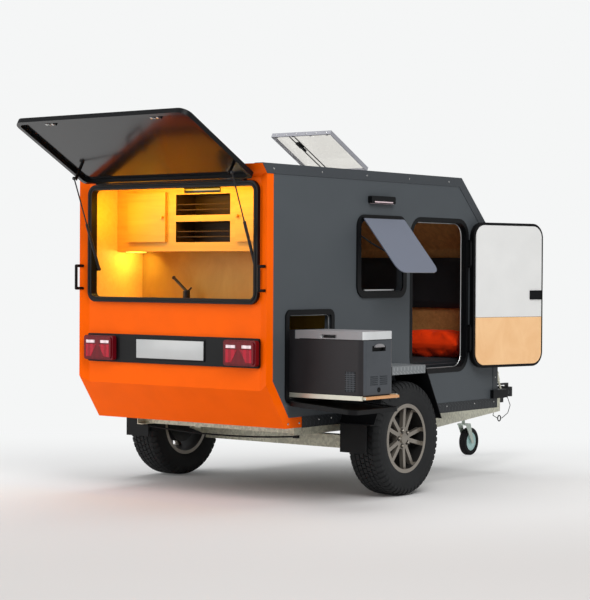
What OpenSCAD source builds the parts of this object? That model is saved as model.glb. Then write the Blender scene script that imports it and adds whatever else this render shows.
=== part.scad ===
// Two-berth travel trailer with a rear galley, standing on its road wheels and jockey wheel.
// Sizes in millimetres, +X forward, +Y to the left, +Z up, origin in the tow-ball socket.

/* [Body] */
// Body length along the road
body_length = 2466; // [2300:2:2600]
// Body width over the side walls
body_width = 1450; // [1380:10:1540]
// Roof height above the road
roof_height = 1936; // [1850:2:2020]
// Underside of the body above the road
body_bottom = 440; // [420:2:460]
// Rear face behind the wheel axis
rear_overhang = 1052; // [1000:2:1100]
// Thickness of the side, front and roof panels
wall = 40; // [34:1:44]
// Flat roof as a share of the body length
roof_share = 0.815; // [0.76:0.005:0.85]
// Height where the front slope ends, as a share of the body height
slope_share = 0.7106; // [0.66:0.002:0.76]
// Height of the lower rear fold, as a share of the body height
fold_share = 0.1705; // [0.15:0.001:0.19]
// Run of the lower rear chamfer
chamfer_run = 176; // [150:1:190]
// Width of the orange wrap on the sides
wrap = 60; // [54:1:64]
// Length of the orange strip under the chamfer
strip_length = 154; // [120:1:170]
// Thickness of the rear shell
shell = 25; // [20:1:28]
// Depth of the recessed rear panel
recess = 25; // [15:1:28]
// Width of the bevel round the recess
bevel = 60; // [40:1:64]
// Overhang of the roof lip at the rear
lip = 44; // [30:1:60]
// Height of the edge trims
trim_height = 55; // [40:1:60]
// Sheet of trims and sills
trim_sheet = 3; // [2:0.5:4]

/* [Rear hatch] */
// Side margin of the hatch frame
hatch_side = 67; // [62:1:90]
// Underside of the hatch frame as a share of the body height
hatch_low_share = 0.4713; // [0.44:0.001:0.5]
// Drop of the hatch frame below the roof panel
hatch_head = 51; // [46:1:60]
// Width of the frame profile
hatch_profile = 30; // [26:1:34]
// Thickness of the hatch panel
hatch_thick = 30; // [24:1:34]
// Opening angle at rest
hatch_open = 119; // [110:1:126]
// Corner radius of the hatch
hatch_round = 60; // [45:1:80]
// Radius of the strut tube
strut_tube_r = 9; // [8:0.5:10]
// Radius of the strut rod
strut_rod_r = 4; // [3:0.5:5]

/* [Side openings] */
// Rear edge of the window frame as a share of the body length
window_start_share = 0.3471; // [0.335:0.001:0.355]
// Length of the window frame as a share of the body length
window_length_share = 0.2117; // [0.19:0.001:0.22]
// Underside of the window frame as a share of the body height
window_low_share = 0.4913; // [0.47:0.001:0.51]
// Height of the window frame as a share of the body height
window_height_share = 0.3342; // [0.31:0.001:0.35]
// Width of the window frame profile
window_profile = 38; // [30:1:42]
// Opening angle of the right window
window_open = 39; // [30:1:55]
// Rear edge of the door opening as a share of the body length
door_start_share = 0.5904; // [0.58:0.001:0.6]
// Length of the door opening as a share of the body length
door_length_share = 0.2506; // [0.23:0.001:0.26]
// Underside of the door opening as a share of the body height
door_low_share = 0.1885; // [0.17:0.001:0.2]
// Height of the door opening as a share of the body height
door_height_share = 0.6183; // [0.58:0.001:0.63]
// Corner radius of the door opening
door_round = 85; // [60:1:100]
// Opening angle of the right door
door_open = 166; // [150:1:170]
// Thickness of the doors
door_thick = 34; // [30:1:38]
// Rear edge of the fridge hatch frame ahead of the rear face
bay_start = 168; // [166:1:180]
// Slope of the opened fridge flap below level
flap_slope = 4; // [2:1:5]
// Length of the fridge flap
flap_length = 470; // [440:1:490]

/* [Fridge slide] */
// Top of the slide tray as a share of the body height
tray_share = 0.132; // [0.13:0.001:0.145]
// Length of the cool box across the trailer
fridge_length = 555; // [520:5:570]
// Width of the cool box along the trailer
fridge_width = 304; // [280:2:310]
// Height of the cool box with its lid
fridge_height = 362; // [340:2:370]
// Height of the lid
fridge_lid_height = 48; // [40:1:56]

/* [Galley] */
// Front plane of the upper cabinet as a share of the body length
cabinet_share = 0.1172; // [0.11:0.001:0.125]
// Galley back panel as a share of the body length
back_share = 0.2109; // [0.2:0.001:0.22]
// Underside of the upper cabinet as a share of the body height
cabinet_low_share = 0.6751; // [0.66:0.001:0.69]
// Board thickness in the furniture
board = 16; // [12:1:18]

/* [Cabin] */
// Mattress thickness
mattress_thick = 140; // [100:5:160]
// Drop of the bed base below the door sill
bed_drop = 92; // [80:1:120]
// Pillow length across the trailer
pillow_length = 560; // [480:10:600]
// Pillow width
pillow_width = 330; // [300:10:420]
// Pillow thickness
pillow_thick = 180; // [120:5:200]

/* [Roof hatch] */
// Hinge of the roof hatch as a share of the body length
vent_share = 0.665; // [0.65:0.001:0.68]
// Side length of the roof hatch
vent_size = 440; // [400:5:470]
// Opening angle of the roof hatch at rest
vent_open = 28; // [20:1:35]

/* [Running gear] */
// Tyre radius
tyre_r = 341; // [325:1:350]
// Tyre width
tyre_width = 215; // [195:5:225]
// Gap between the side wall and the tyre
wheel_gap = 35; // [30:1:45]
// Clear height between tyre and fender
fender_clear = 93; // [80:1:110]
// Sheet of the fenders
fender_sheet = 5; // [3:0.5:6]

/* [Chassis] */
// Rail centre inside the side wall
rail_inset = 135; // [125:1:160]
// Rail width
rail_width = 50; // [44:1:56]
// Depth of the front rails
rail_depth = 120; // [100:1:130]
// Depth of the rear rails
rail_rear_depth = 60; // [50:1:70]
// Sheet thickness of the rails
rail_sheet = 5; // [4:0.5:6]
// Tow ball ahead of the front wall
hitch_reach = 1336; // [1250:2:1400]
// Radius of the ball socket
socket_r = 25.25; // [25:0.05:25.5]
// Jockey wheel radius
jockey_r = 100; // [90:1:110]
// Jockey wheel width
jockey_width = 50; // [44:1:60]

/* [Hidden] */
$fn = 48;
quarter = 90;
turn = 360;
cut = 2;
running = 0.05;
grey = "#54585B";
orange = "#F86A05";
black = "#26282A";
birch = "#D8B07A";
steel = "#B9B59F";

half = body_width / 2;
inner = half - wall;
rear = -rear_overhang;
front = rear + body_length;
body_h = roof_height - body_bottom;
function up(share) = body_bottom + share * body_h;
function ahead(share) = rear + share * body_length;
roof_low = roof_height - wall;
floor_top = body_bottom + wall;
slope_x = ahead(roof_share);
slope_height = up(slope_share);
fold_height = up(fold_share);
slope_run = front - slope_x;
slope_drop = roof_height - slope_height;
slope_l = sqrt(slope_run * slope_run + slope_drop * slope_drop);
chamfer_drop = fold_height - body_bottom;
chamfer_l = sqrt(chamfer_run * chamfer_run + chamfer_drop * chamfer_drop);
chamfer_nx = chamfer_drop / chamfer_l;
chamfer_nz = chamfer_run / chamfer_l;
chamfer_end = rear + chamfer_run;
strip_end = chamfer_end + strip_length;
function fold_in(t) = fold_height + t * (1 - chamfer_nx) / chamfer_nz;
function foot_in(t) = chamfer_end + t * (1 - chamfer_nz) / chamfer_nx;
panel_face = rear + recess;
panel_back = panel_face + shell;

hatch_half = half - hatch_side;
hatch_frame_low = up(hatch_low_share);
hatch_frame_top = roof_low - hatch_head;
hatch_low = hatch_frame_low + hatch_profile;
hatch_high = hatch_frame_top - hatch_profile;
hatch_opening_half = hatch_half - hatch_profile;
hatch_sleeve = 6;
hatch_gap = 6;
hinge_pin_r = 5;
hinge_bore_r = hinge_pin_r + running;
hinge_barrel_r = 2 * hinge_pin_r;
hatch_hinge_x = rear - hatch_gap - hinge_barrel_r;
hatch_rise = 8;
hatch_hinge_z = hatch_frame_top + hatch_rise;
hatch_bottom_in = 14;
hatch_reach = hatch_hinge_z - hatch_frame_low - hatch_bottom_in;
hatch_drop = hinge_barrel_r + hatch_gap;
hatch_edge = 26;
hatch_top_edge = 12;
hatch_skin = 8;
hatch_barrel_margin = 98;
hatch_barrel_half = hatch_half - hatch_barrel_margin;
hatch_ear = 12;
hatch_ear_r = 7.5;
hatch_near_round = 25;
hatch_inner_face = hinge_barrel_r - hatch_thick + hatch_skin;
catch_share = 0.61;
catch_w = 70;
catch_h = 46;
catch_base = 10;
catch_r = 8;

strut_inset = 18;
strut_offset = hatch_opening_half - strut_inset;
strut_low_in = 50;
strut_low_x = rear + strut_low_in;
strut_low_share = 0.258;
strut_low = hatch_low + strut_low_share * (hatch_high - hatch_low);
strut_arm_share = 0.21;
strut_arm = strut_arm_share * hatch_reach;
strut_eye_in = 50;
strut_tube_share = 0.5;
strut_overlap = 48;
eye_r = 10;
eye_width = 12;
stud_r = 4;
stud_gap = 8;
// Point on the hatch where the strut ends, turned to the open pose
function hatch_turn(px, pz) = [hatch_hinge_x + px * cos(hatch_open) + pz * sin(hatch_open),
  hatch_hinge_z - px * sin(hatch_open) + pz * cos(hatch_open)];
strut_top = hatch_turn(strut_eye_in, -strut_arm);
strut_dx = strut_top[0] - strut_low_x;
strut_dz = strut_top[1] - strut_low;
strut_l = sqrt(strut_dx * strut_dx + strut_dz * strut_dz);
strut_lean = atan2(strut_dx, strut_dz);
strut_tube_l = strut_tube_share * strut_l;

window_x = ahead(window_start_share);
window_length = window_length_share * body_length;
window_low = up(window_low_share);
window_height = window_height_share * body_h;
window_round = 2 * window_profile;
pane_inset = 22;
pane_thick = 6;
pane_round = 60;
pane_gap = 10;
pane_x = window_x + window_profile + pane_gap;
pane_l = window_length - 2 * (window_profile + pane_gap);
pane_hinge_z = window_low + window_height - pane_inset;
pane_h = window_height - 2 * pane_inset - window_profile;
frame_proud = 10;

door_x = ahead(door_start_share);
door_length = door_length_share * body_length;
door_low = up(door_low_share);
door_height = door_height_share * body_h;
door_lip = 14;
door_lap = 10;
door_seat = 5;
door_pin_gap = 10;
door_hinge_out = door_lap + door_pin_gap;
door_hinge_off = door_seat + door_thick / 2;
door_hinge_x = door_x + door_length + door_hinge_out;
door_hinge_y = half + door_hinge_off;
door_w = door_length + 2 * door_lap;
door_h = door_height + 2 * door_lap;
door_leaf_r = door_round + door_lap;
lining_inset = 8;
lining_thick = 6;
lining_split_share = 0.34;
latch_w = 110;
latch_h = 58;
latch_d = 14;
latch_gap = 1;
door_hinge_shares = [0.196, 0.789];
door_hinge_half = 84;
door_arm_half = 4;
leaf_thick = 6;
leaf_reach = 46;
leaf_sheet = 2;

tray_top = up(tray_share);
bay_x = rear + bay_start;
bay_profile = 32;
bay_round = 45;
bay_side = 79.5;
bay_under = 58;
bay_over = 115.5;
bay_length = fridge_width + 2 * bay_side;
bay_low = tray_top - bay_under;
bay_height = bay_under + fridge_height + bay_over;
flap_thick = 25;
flap_seat = 1;
flap_rim = 26;
flap_pocket = 6;
flap_rise = 6.5;
flap_hinge_z = bay_low + flap_rise;

tray_thick = 15;
tray_rail_h = 12;
tray_rail_w = 16;
tray_margin = 20;
tray_tail = 100;
runner_w = 12;
runner_drop = 5;
fridge_side = 84;
fridge_in = 70;
lid_off = 10;
lid_gap = 4;
fridge_x = bay_x + fridge_side;
fridge_inner_y = fridge_in - half;
fridge_outer_y = fridge_inner_y - fridge_length;
fridge_wall = 34;
fridge_round = 40;
lid_inner_y = -half - lid_off;
slide_stop = 6;
slide_travel = -fridge_outer_y - half - slide_stop;
tray_ahead = 22;
tray_x0 = fridge_x;
tray_x1 = fridge_x + fridge_width + tray_ahead;
tray_y0 = fridge_outer_y - tray_margin;
tray_y1 = tray_tail - inner;
tray_low = tray_top - tray_thick;
bay_floor = tray_low - tray_rail_h - running;
bulk_gap = 24;
bulk_x = bay_x + bay_length + bulk_gap;

worktop_drop = 5;
worktop_thick = 28;
worktop_top = hatch_frame_low - worktop_drop;
ledge_z = worktop_top - worktop_thick;
cabinet_x = ahead(cabinet_share);
back_x = ahead(back_share);
cabinet_low = up(cabinet_low_share);
cabinet_h = roof_low - cabinet_low;
cabinet_d = back_x - cabinet_x;
cubby_half_share = 0.3095;
cubby_half = cubby_half_share * inner;
cubby_shift = -8;
cubby_h_share = 0.278;
cubby_h = cubby_h_share * cabinet_h;
cubby_shares = [0.121, 0.484];
cubby_depth_share = 0.78;
cubby_depth = cubby_depth_share * cabinet_d;
cubby_bar_r = 4;
cubby_bar_shares = [0.26, 0.52];
cupboard_hinge_share = 0.8467;
cupboard_hinge_y = cupboard_hinge_share * inner;
cupboard_w_share = 0.4467;
cupboard_w = cupboard_w_share * inner;
cupboard_low_share = 0.1256;
cupboard_low = cabinet_low + cupboard_low_share * cabinet_h;
cupboard_h_share = 0.67;
cupboard_h = cupboard_h_share * cabinet_h;
cupboard_gap = 4;
knob_r = 10;
knob_l = 20;
sink_r = 150;
sink_wall = 4;
sink_depth = 130;
sink_back = 240;
sink_y = 110;
sink_x = back_x - sink_back;

bed_top = door_low - bed_drop;
mattress_top = bed_top + mattress_thick;

vent_x = ahead(vent_share);
vent_half = vent_size / 2;
vent_frame_w = 40;
vent_frame_h = 36;
vent_rim = 28;
vent_barrel_r = 8;
vent_pin_r = 4;
vent_off = 14;
vent_sink = 4;
vent_hinge_x = vent_x + vent_off;
vent_hinge_z = roof_height + vent_frame_h - vent_sink;
vent_lift = 10;
vent_over = 16;
vent_skin = 6;
vent_ear_in = 50;
vent_arm_in = 90;
vent_ear_y = vent_half - vent_ear_in;
vent_arm_y = vent_half - vent_arm_in;
vent_arm_w = 36;

wheel_y = half + wheel_gap + tyre_width / 2;
axle_z = tyre_r;
bead_share = 0.8;
seat_share = 0.557;
crown_share = 0.4;
flange_share = 0.61;
seat_r = seat_share * tyre_r;
rim_half = bead_share * tyre_width / 2;
rim_r = flange_share * tyre_r;
spindle_r = 20;
arm_inset = 24;
arm_y = half - arm_inset;
fender_width = wheel_gap + tyre_width;
fender_top = 2 * tyre_r + fender_clear;
fender_flat_share = 0.516;
fender_foot_share = 1.062;
fender_flat = fender_flat_share * tyre_r;
fender_foot = fender_foot_share * tyre_r;
fender_low = body_bottom;
fender_lean_share = (fender_foot - fender_flat) / (fender_top - fender_low);

rail_offset = half - rail_inset;
rail_top = body_bottom;
rail_low = rail_top - rail_depth;
rail_rear_low = rail_top - rail_rear_depth;
rail_rear_in = 402;
rail_rear_x = rear + rail_rear_in;
rail_bend_share = 0.71;
rail_bend = ahead(rail_bend_share);
hitch_rise = 5;
ball_reach = front + hitch_reach;
ball_height = body_bottom + hitch_rise;
rail_back = 270;
rail_front = ball_reach - rail_back;
rail_tip = 78;
rail_splay = (rail_offset - rail_tip) / (rail_front - rail_bend);
jockey_back = 235;
jockey_x = rail_front - jockey_back;
jockey_y = 62;
jockey_tube_r = 24;
jockey_stem_r = 12;
jockey_pin_r = 8;
jockey_trail_share = 0.75;
jockey_trail = jockey_trail_share * jockey_r;
jockey_head_share = 2.3;
jockey_head = jockey_head_share * jockey_r;
fork_gap = 8;
fork_sheet = 4;
fork_half = jockey_width / 2 + fork_gap;

// Moves the drawing from the road below the axle to the tow ball
module placed() {
  translate([-ball_reach, 0, -ball_height]) children();
}

module both_sides() {
  children();
  mirror([0, 1, 0]) children();
}

module along_x(x0, x1) {
  translate([x0, 0, 0]) rotate([quarter, 0, quarter]) linear_extrude(x1 - x0) children();
}

module along_y(y0, y1) {
  translate([0, y1, 0]) rotate([quarter, 0, 0]) linear_extrude(y1 - y0) children();
}

module along_z(z0, z1) {
  translate([0, 0, z0]) linear_extrude(z1 - z0) children();
}

module block(x0, x1, y0, y1, z0, z1) {
  translate([x0, y0, z0]) cube([x1 - x0, y1 - y0, z1 - z0]);
}

module round_rect(x, y, w, h, r) {
  translate([x, y]) {
    translate([r, 0]) square([w - 2 * r, h]);
    translate([0, r]) square([w, h - 2 * r]);
    for (cx = [r, w - r])
      for (cy = [r, h - r])
        translate([cx, cy]) circle(r);
  }
}

module ring(x, y, w, h, r, t) {
  difference() {
    round_rect(x, y, w, h, r);
    round_rect(x + t, y + t, w - 2 * t, h - 2 * t, r - t);
  }
}

module rod_y(x, z, y0, y1, r) {
  translate([x, y1, z]) rotate([quarter, 0, 0]) cylinder(h = y1 - y0, r = r);
}

module rod_x(y, z, x0, x1, r) {
  translate([x0, y, z]) rotate([0, quarter, 0]) cylinder(h = x1 - x0, r = r);
}

module rod_z(x, y, z0, z1, r) {
  translate([x, y, z0]) cylinder(h = z1 - z0, r = r);
}

// Round bar between two points
module bar(a, b, r) {
  d = b - a;
  l = norm(d);
  translate(a) rotate([0, acos(d[2] / l), atan2(d[1], d[0])]) cylinder(h = l, r = r);
}

cable_bead_share = 1.06;

// Round cable through a list of points
module cable(points, r) {
  for (i = [0 : len(points) - 2])
    bar(points[i], points[i + 1], r);
  for (i = [1 : len(points) - 2])
    translate(points[i]) sphere(r * cable_bead_share);
}

// Side outline ahead of the orange wrap
module side_outline() {
  polygon([[rear, roof_low], [rear, roof_height], [slope_x, roof_height], [front, slope_height],
    [front, body_bottom], [strip_end, body_bottom], [strip_end, body_bottom + wrap],
    [foot_in(wrap), body_bottom + wrap], [rear + wrap, fold_in(wrap)], [rear + wrap, roof_low]]);
}

module window_hole() {
  round_rect(window_x + window_profile, window_low + window_profile, window_length - 2 * window_profile,
    window_height - 2 * window_profile, window_round - window_profile);
}

module door_hole() {
  round_rect(door_x - door_lip, door_low - door_lip, door_length + 2 * door_lip,
    door_height + 2 * door_lip, door_round + door_lip);
}

module bay_hole() {
  round_rect(bay_x + bay_profile, bay_low + bay_profile, bay_length - 2 * bay_profile,
    bay_height - 2 * bay_profile, bay_round - bay_profile);
}

module side_wall_right() {
  color(grey) along_y(-half, -inner) difference() {
    side_outline();
    window_hole();
    door_hole();
    bay_hole();
  }
}

module side_wall_left() {
  color(grey) along_y(inner, half) difference() {
    side_outline();
    window_hole();
    door_hole();
  }
}

module floor_panel() {
  color("#5A5148") block(strip_end, front - wall, -inner, inner, body_bottom, floor_top);
}

module vent_hole(z0, z1) {
  block(vent_x - vent_size + vent_frame_w, vent_x - vent_frame_w, vent_frame_w - vent_half,
    vent_half - vent_frame_w, z0 - cut, z1 + cut);
}

module roof_panel() {
  color("#C9CACB") {
    difference() {
      block(rear, slope_x, -inner, inner, roof_low, roof_height);
      vent_hole(roof_low, roof_height);
    }
    along_y(-half, half)
      polygon([[rear - lip, roof_height], [rear, roof_height - trim_height], [rear, roof_height]]);
  }
}

module front_wall() {
  color(grey) along_y(-inner, inner)
    polygon([[slope_x, roof_height], [front, slope_height], [front, body_bottom],
      [front - wall, body_bottom], [front - wall, slope_height - wall * (slope_l - slope_drop) / slope_run],
      [slope_x, roof_height - wall * slope_l / slope_run]]);
}

// Recess of the rear panel inside its bevels
module rear_recess() {
  intersection() {
    along_z(body_bottom, roof_height)
      polygon([[rear - lip, -half], [rear, -half], [panel_face, bevel - half],
        [panel_face, half - bevel], [rear, half], [rear - lip, half]]);
    along_y(-half, half)
      polygon([[rear - lip, body_bottom], [panel_face, body_bottom], [panel_face, roof_low - bevel / 2],
        [rear, roof_low], [rear - lip, roof_low]]);
  }
}

module rear_shell() {
  color(orange) difference() {
    along_y(-half, half)
      polygon([[rear, roof_low], [rear, fold_height], [chamfer_end, body_bottom], [strip_end, body_bottom],
        [strip_end, body_bottom + wrap], [foot_in(wrap), body_bottom + wrap],
        [rear + wrap, fold_in(wrap)], [rear + wrap, roof_low]]);
    along_y(-inner, inner)
      polygon([[panel_back, roof_low + cut], [panel_back, fold_in(panel_back - rear)],
        [foot_in(shell), body_bottom + shell], [strip_end + cut, body_bottom + shell],
        [strip_end + cut, roof_low + cut]]);
    rear_recess();
    along_x(rear - cut, rear + wrap + cut)
      round_rect(-hatch_opening_half - hatch_sleeve, hatch_low - hatch_sleeve,
        2 * (hatch_opening_half + hatch_sleeve), hatch_high - hatch_low + 2 * hatch_sleeve,
        hatch_round - hatch_profile + hatch_sleeve);
  }
}

// Angle profile over the long edges of the roof and the front
module edge_trims() {
  trim_low = body_bottom + wrap + trim_height;
  color("#4A4E51") both_sides() {
    along_y(-half - trim_sheet, -half)
      polygon([[rear - lip, roof_height + trim_sheet], [slope_x, roof_height + trim_sheet],
        [front + trim_sheet, slope_height], [front + trim_sheet, trim_low], [front - trim_height, trim_low],
        [front - trim_height, slope_height - trim_height / 2],
        [slope_x - trim_height / 2, roof_height - trim_height], [rear, roof_height - trim_height]]);
    along_y(-half, trim_height - half)
      polygon([[rear - lip, roof_height], [rear - lip, roof_height + trim_sheet],
        [slope_x, roof_height + trim_sheet], [front + trim_sheet, slope_height],
        [front + trim_sheet, trim_low], [front, trim_low], [front, slope_height], [slope_x, roof_height]]);
  }
}

module sills() {
  color("#3C3F42") both_sides()
    block(strip_end, front, -half - trim_sheet, -half, body_bottom - trim_sheet, body_bottom + wrap);
}

module front_bumper() {
  reach = 95;
  back = 85;
  low = body_bottom + wrap;
  high = low + trim_height;
  side = 26;
  color(black) difference() {
    block(front - back, front + reach, -half - side, half + side, low, high);
    block(front - back - cut, front, -half, half, low - cut, high + cut);
  }
}

module hatch_frame() {
  ring_h = hatch_frame_top - hatch_frame_low;
  color(black) {
    along_x(rear, panel_face)
      ring(-hatch_half, hatch_frame_low, 2 * hatch_half, ring_h, hatch_round, hatch_profile);
    along_x(panel_face, panel_back)
      ring(-hatch_opening_half - hatch_sleeve, hatch_low - hatch_sleeve,
        2 * (hatch_opening_half + hatch_sleeve), hatch_high - hatch_low + 2 * hatch_sleeve,
        hatch_round - hatch_profile + hatch_sleeve, hatch_sleeve);
    both_sides() {
      block(hatch_hinge_x - hatch_ear_r, rear + hinge_barrel_r, hatch_barrel_half,
        hatch_barrel_half + hatch_ear, hatch_hinge_z - hatch_ear_r, hatch_hinge_z + hatch_ear_r);
      block(rear, rear + hinge_barrel_r, hatch_barrel_half, hatch_barrel_half + hatch_ear,
        hatch_frame_top - hatch_profile / 2, hatch_hinge_z);
      rod_y(hatch_hinge_x, hatch_hinge_z, hatch_barrel_half - strut_overlap, hatch_barrel_half, hinge_pin_r);
      rod_y(strut_low_x, strut_low, strut_offset - eye_width / 2, hatch_opening_half + hatch_sleeve, stud_r);
      block(panel_back - cut, strut_low_x + eye_r, hatch_opening_half, hatch_opening_half + hatch_sleeve,
        strut_low - eye_r, strut_low + eye_r);
    }
  }
}

module hatch_pose() {
  translate([hatch_hinge_x, 0, hatch_hinge_z]) rotate([0, hatch_open, 0]) children();
}

module rear_hatch() {
  w = hatch_half - cut;
  h = hatch_reach - hatch_drop;
  color(black) hatch_pose() {
    difference() {
      along_x(hinge_barrel_r - hatch_thick, hinge_barrel_r) {
        round_rect(-w, -hatch_reach, 2 * w, h, hatch_round);
        round_rect(-w, h / 2 - hatch_reach, 2 * w, h / 2, hatch_near_round);
      }
      along_x(hatch_inner_face, hinge_barrel_r + cut)
        round_rect(hatch_edge - w, hatch_edge - hatch_reach, 2 * (w - hatch_edge),
          h - hatch_edge - hatch_top_edge, hatch_round - hatch_edge);
    }
    difference() {
      union() {
        rod_y(0, 0, hatch_gap - hatch_barrel_half, hatch_barrel_half - hatch_gap, hinge_barrel_r);
        block(-hinge_barrel_r, 0, hatch_gap - hatch_barrel_half, hatch_barrel_half - hatch_gap,
          -hatch_drop - hatch_top_edge, 0);
      }
      rod_y(0, 0, -hatch_half, hatch_half, hinge_bore_r);
    }
    both_sides() {
      block(hatch_inner_face - cut, strut_eye_in + eye_r, strut_offset - stud_gap - eye_width,
        strut_offset - stud_gap - eye_width / 2, -strut_arm - eye_r, eye_r - strut_arm);
      translate([0, catch_share * hatch_half, hatch_edge - hatch_reach]) {
        block(hatch_inner_face - cut, hatch_inner_face + catch_base, -catch_w / 2, catch_w / 2, 0, catch_h);
        rod_x(0, catch_h / 2, hatch_inner_face, hinge_barrel_r, catch_r);
      }
    }
  }
}

module strut_pose() {
  translate([strut_low_x, 0, strut_low]) rotate([0, strut_lean, 0]) children();
}

module strut_tube() {
  color(black) strut_pose() difference() {
    union() {
      rod_y(0, 0, strut_offset - eye_width / 2, strut_offset + eye_width / 2, eye_r);
      rod_z(0, strut_offset, 0, strut_tube_l, strut_tube_r);
    }
    rod_y(0, 0, strut_offset - eye_width, strut_offset + eye_width, stud_r + running);
    rod_z(0, strut_offset, eye_r + cut, strut_tube_l + cut, strut_rod_r + running);
  }
}

module strut_rod() {
  color(steel) strut_pose() {
    rod_z(0, strut_offset, strut_tube_l - strut_overlap, strut_l, strut_rod_r);
    rod_y(0, strut_l, strut_offset - eye_width / 2, strut_offset + eye_width / 2, eye_r);
  }
}

module strut_tube_left() {
  strut_tube();
}

module strut_tube_right() {
  mirror([0, 1, 0]) strut_tube();
}

module strut_rod_left() {
  strut_rod();
}

module strut_rod_right() {
  mirror([0, 1, 0]) strut_rod();
}

lamp_bar_share = 0.2313;
lamp_bar_h = 168;
lamp_bar_depth = 14;
lamp_w = 236;
lamp_h = 146;
lamp_depth = 40;
lamp_rim = 10;
lamp_step = 8;
lamp_round = 16;

module lamp_bar() {
  color(black) along_x(panel_face - lamp_bar_depth, panel_face)
    round_rect(bevel - half, up(lamp_bar_share), 2 * (half - bevel), lamp_bar_h, lamp_bar_depth);
}

// Stepped lens with a narrower outer face
module tail_lamps() {
  x0 = panel_face - lamp_bar_depth;
  y0 = bevel - half;
  z0 = up(lamp_bar_share) + (lamp_bar_h - lamp_h) / 2;
  color("#8E1430") both_sides() {
    along_x(x0 - lamp_depth + lamp_step, x0) round_rect(y0, z0, lamp_w, lamp_h, lamp_round);
    along_x(x0 - lamp_depth, x0) round_rect(y0 + lamp_rim, z0 + lamp_rim, lamp_w - 2 * lamp_rim,
      lamp_h - 2 * lamp_rim, lamp_round);
  }
}

module grab_handles() {
  handle_share = 0.5695;
  handle_h = 136;
  reach = 48;
  r = 9;
  side = 18;
  y = half - side;
  z0 = up(handle_share) - handle_h / 2;
  color(black) both_sides() {
    for (z = [z0, z0 + handle_h]) {
      intersection() {
        rod_x(-y, z, rear - reach, panel_face, r);
        rear_recess_side();
      }
      translate([rear - reach, -y, z]) sphere(r);
    }
    rod_z(rear - reach, -y, z0, z0 + handle_h, r);
  }
}

// Free space behind the right bevel of the rear panel
module rear_recess_side() {
  along_z(body_bottom, roof_height)
    polygon([[rear - bevel, -half], [rear, -half], [panel_face, bevel - half], [rear - bevel, bevel - half]]);
}

module window_frame() {
  along_y(-half - frame_proud, -half)
    ring(window_x, window_low, window_length, window_height, window_round, window_profile);
  rod_x(-half - frame_proud - hinge_pin_r, pane_hinge_z, pane_x, pane_x + pane_l, hinge_pin_r);
}

module opening_frames() {
  color(black) {
    both_sides() window_frame();
    along_y(-half - frame_proud, -half)
      ring(bay_x, bay_low, bay_length, bay_height, bay_round, bay_profile);
  }
}

module pane() {
  rotate([quarter, 0, 0]) linear_extrude(pane_thick) {
    translate([0, pane_round - pane_h]) square([pane_l, pane_h - pane_round - hinge_pin_r]);
    translate([pane_round, -pane_h]) square([pane_l - 2 * pane_round, pane_h - hinge_pin_r]);
    translate([pane_round, pane_round - pane_h]) circle(pane_round);
    translate([pane_l - pane_round, pane_round - pane_h]) circle(pane_round);
  }
}

module window_panes() {
  color("#B9B4C4") {
    translate([pane_x, -half - frame_proud - hinge_pin_r, pane_hinge_z]) rotate([-window_open, 0, 0]) pane();
    mirror([0, 1, 0]) translate([pane_x, -half - frame_proud, pane_hinge_z]) pane();
  }
}

module side_lamps() {
  lamp_x_share = 0.3946;
  lamp_z_share = 0.8717;
  bar_l = 251;
  bar_h = 45;
  bar_depth = 30;
  bar_round = 10;
  color(black) both_sides() along_y(-half - bar_depth, -half)
    round_rect(ahead(lamp_x_share), up(lamp_z_share), bar_l, bar_h, bar_round);
}

module hinge_fixed(z) {
  rod_z(door_hinge_x, -door_hinge_y, z - door_hinge_half, z + door_hinge_half, hinge_pin_r);
  for (s = [-1, 1])
    block(door_hinge_x - door_arm_half, door_hinge_x + door_arm_half, -door_hinge_y, -half,
      z + s * door_hinge_half - leaf_thick, z + s * door_hinge_half + leaf_thick);
  block(door_hinge_x - door_arm_half, door_hinge_x + leaf_reach, -half - leaf_sheet, -half,
    z - door_hinge_half - leaf_thick, z + door_hinge_half + leaf_thick);
}

module door_frames() {
  color(black) both_sides() {
    along_y(-half, -inner)
      ring(door_x - door_lip, door_low - door_lip, door_length + 2 * door_lip, door_height + 2 * door_lip,
        door_round + door_lip, door_lip);
    for (share = door_hinge_shares)
      hinge_fixed(door_low + share * door_height);
  }
}

// Right door drawn closed about its hinge, with its latch inside and its paddle handle outside
module door_leaf() {
  x0 = -door_pin_gap - door_w;
  y0 = door_thick / 2;
  xl = x0 + door_lap + lining_inset;
  zm = door_low + door_height / 2;
  paddle_in = 40;
  paddle_w = 120;
  paddle_h = 84;
  paddle_d = 9;
  paddle_round = 12;
  leaf_half = door_hinge_half - 2 * leaf_thick;
  color(grey) {
    along_y(-y0, y0) round_rect(x0, door_low - door_lap, door_w, door_h, door_leaf_r);
    block(xl, xl + latch_w, y0 - cut, y0 + latch_d, zm - latch_h / 2, zm + latch_h / 2);
    along_y(-y0 - paddle_d, cut - y0) round_rect(x0 + paddle_in, zm - paddle_h / 2, paddle_w, paddle_h, paddle_round);
    for (share = door_hinge_shares)
      translate([0, 0, door_low + share * door_height]) difference() {
        union() {
          rod_z(0, 0, -leaf_half, leaf_half, hinge_barrel_r);
          block(-door_pin_gap - leaf_reach, 0, -leaf_thick / 2, leaf_thick / 2, -leaf_half, leaf_half);
        }
        rod_z(0, 0, -door_hinge_half, door_hinge_half, hinge_bore_r);
      }
  }
}

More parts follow.
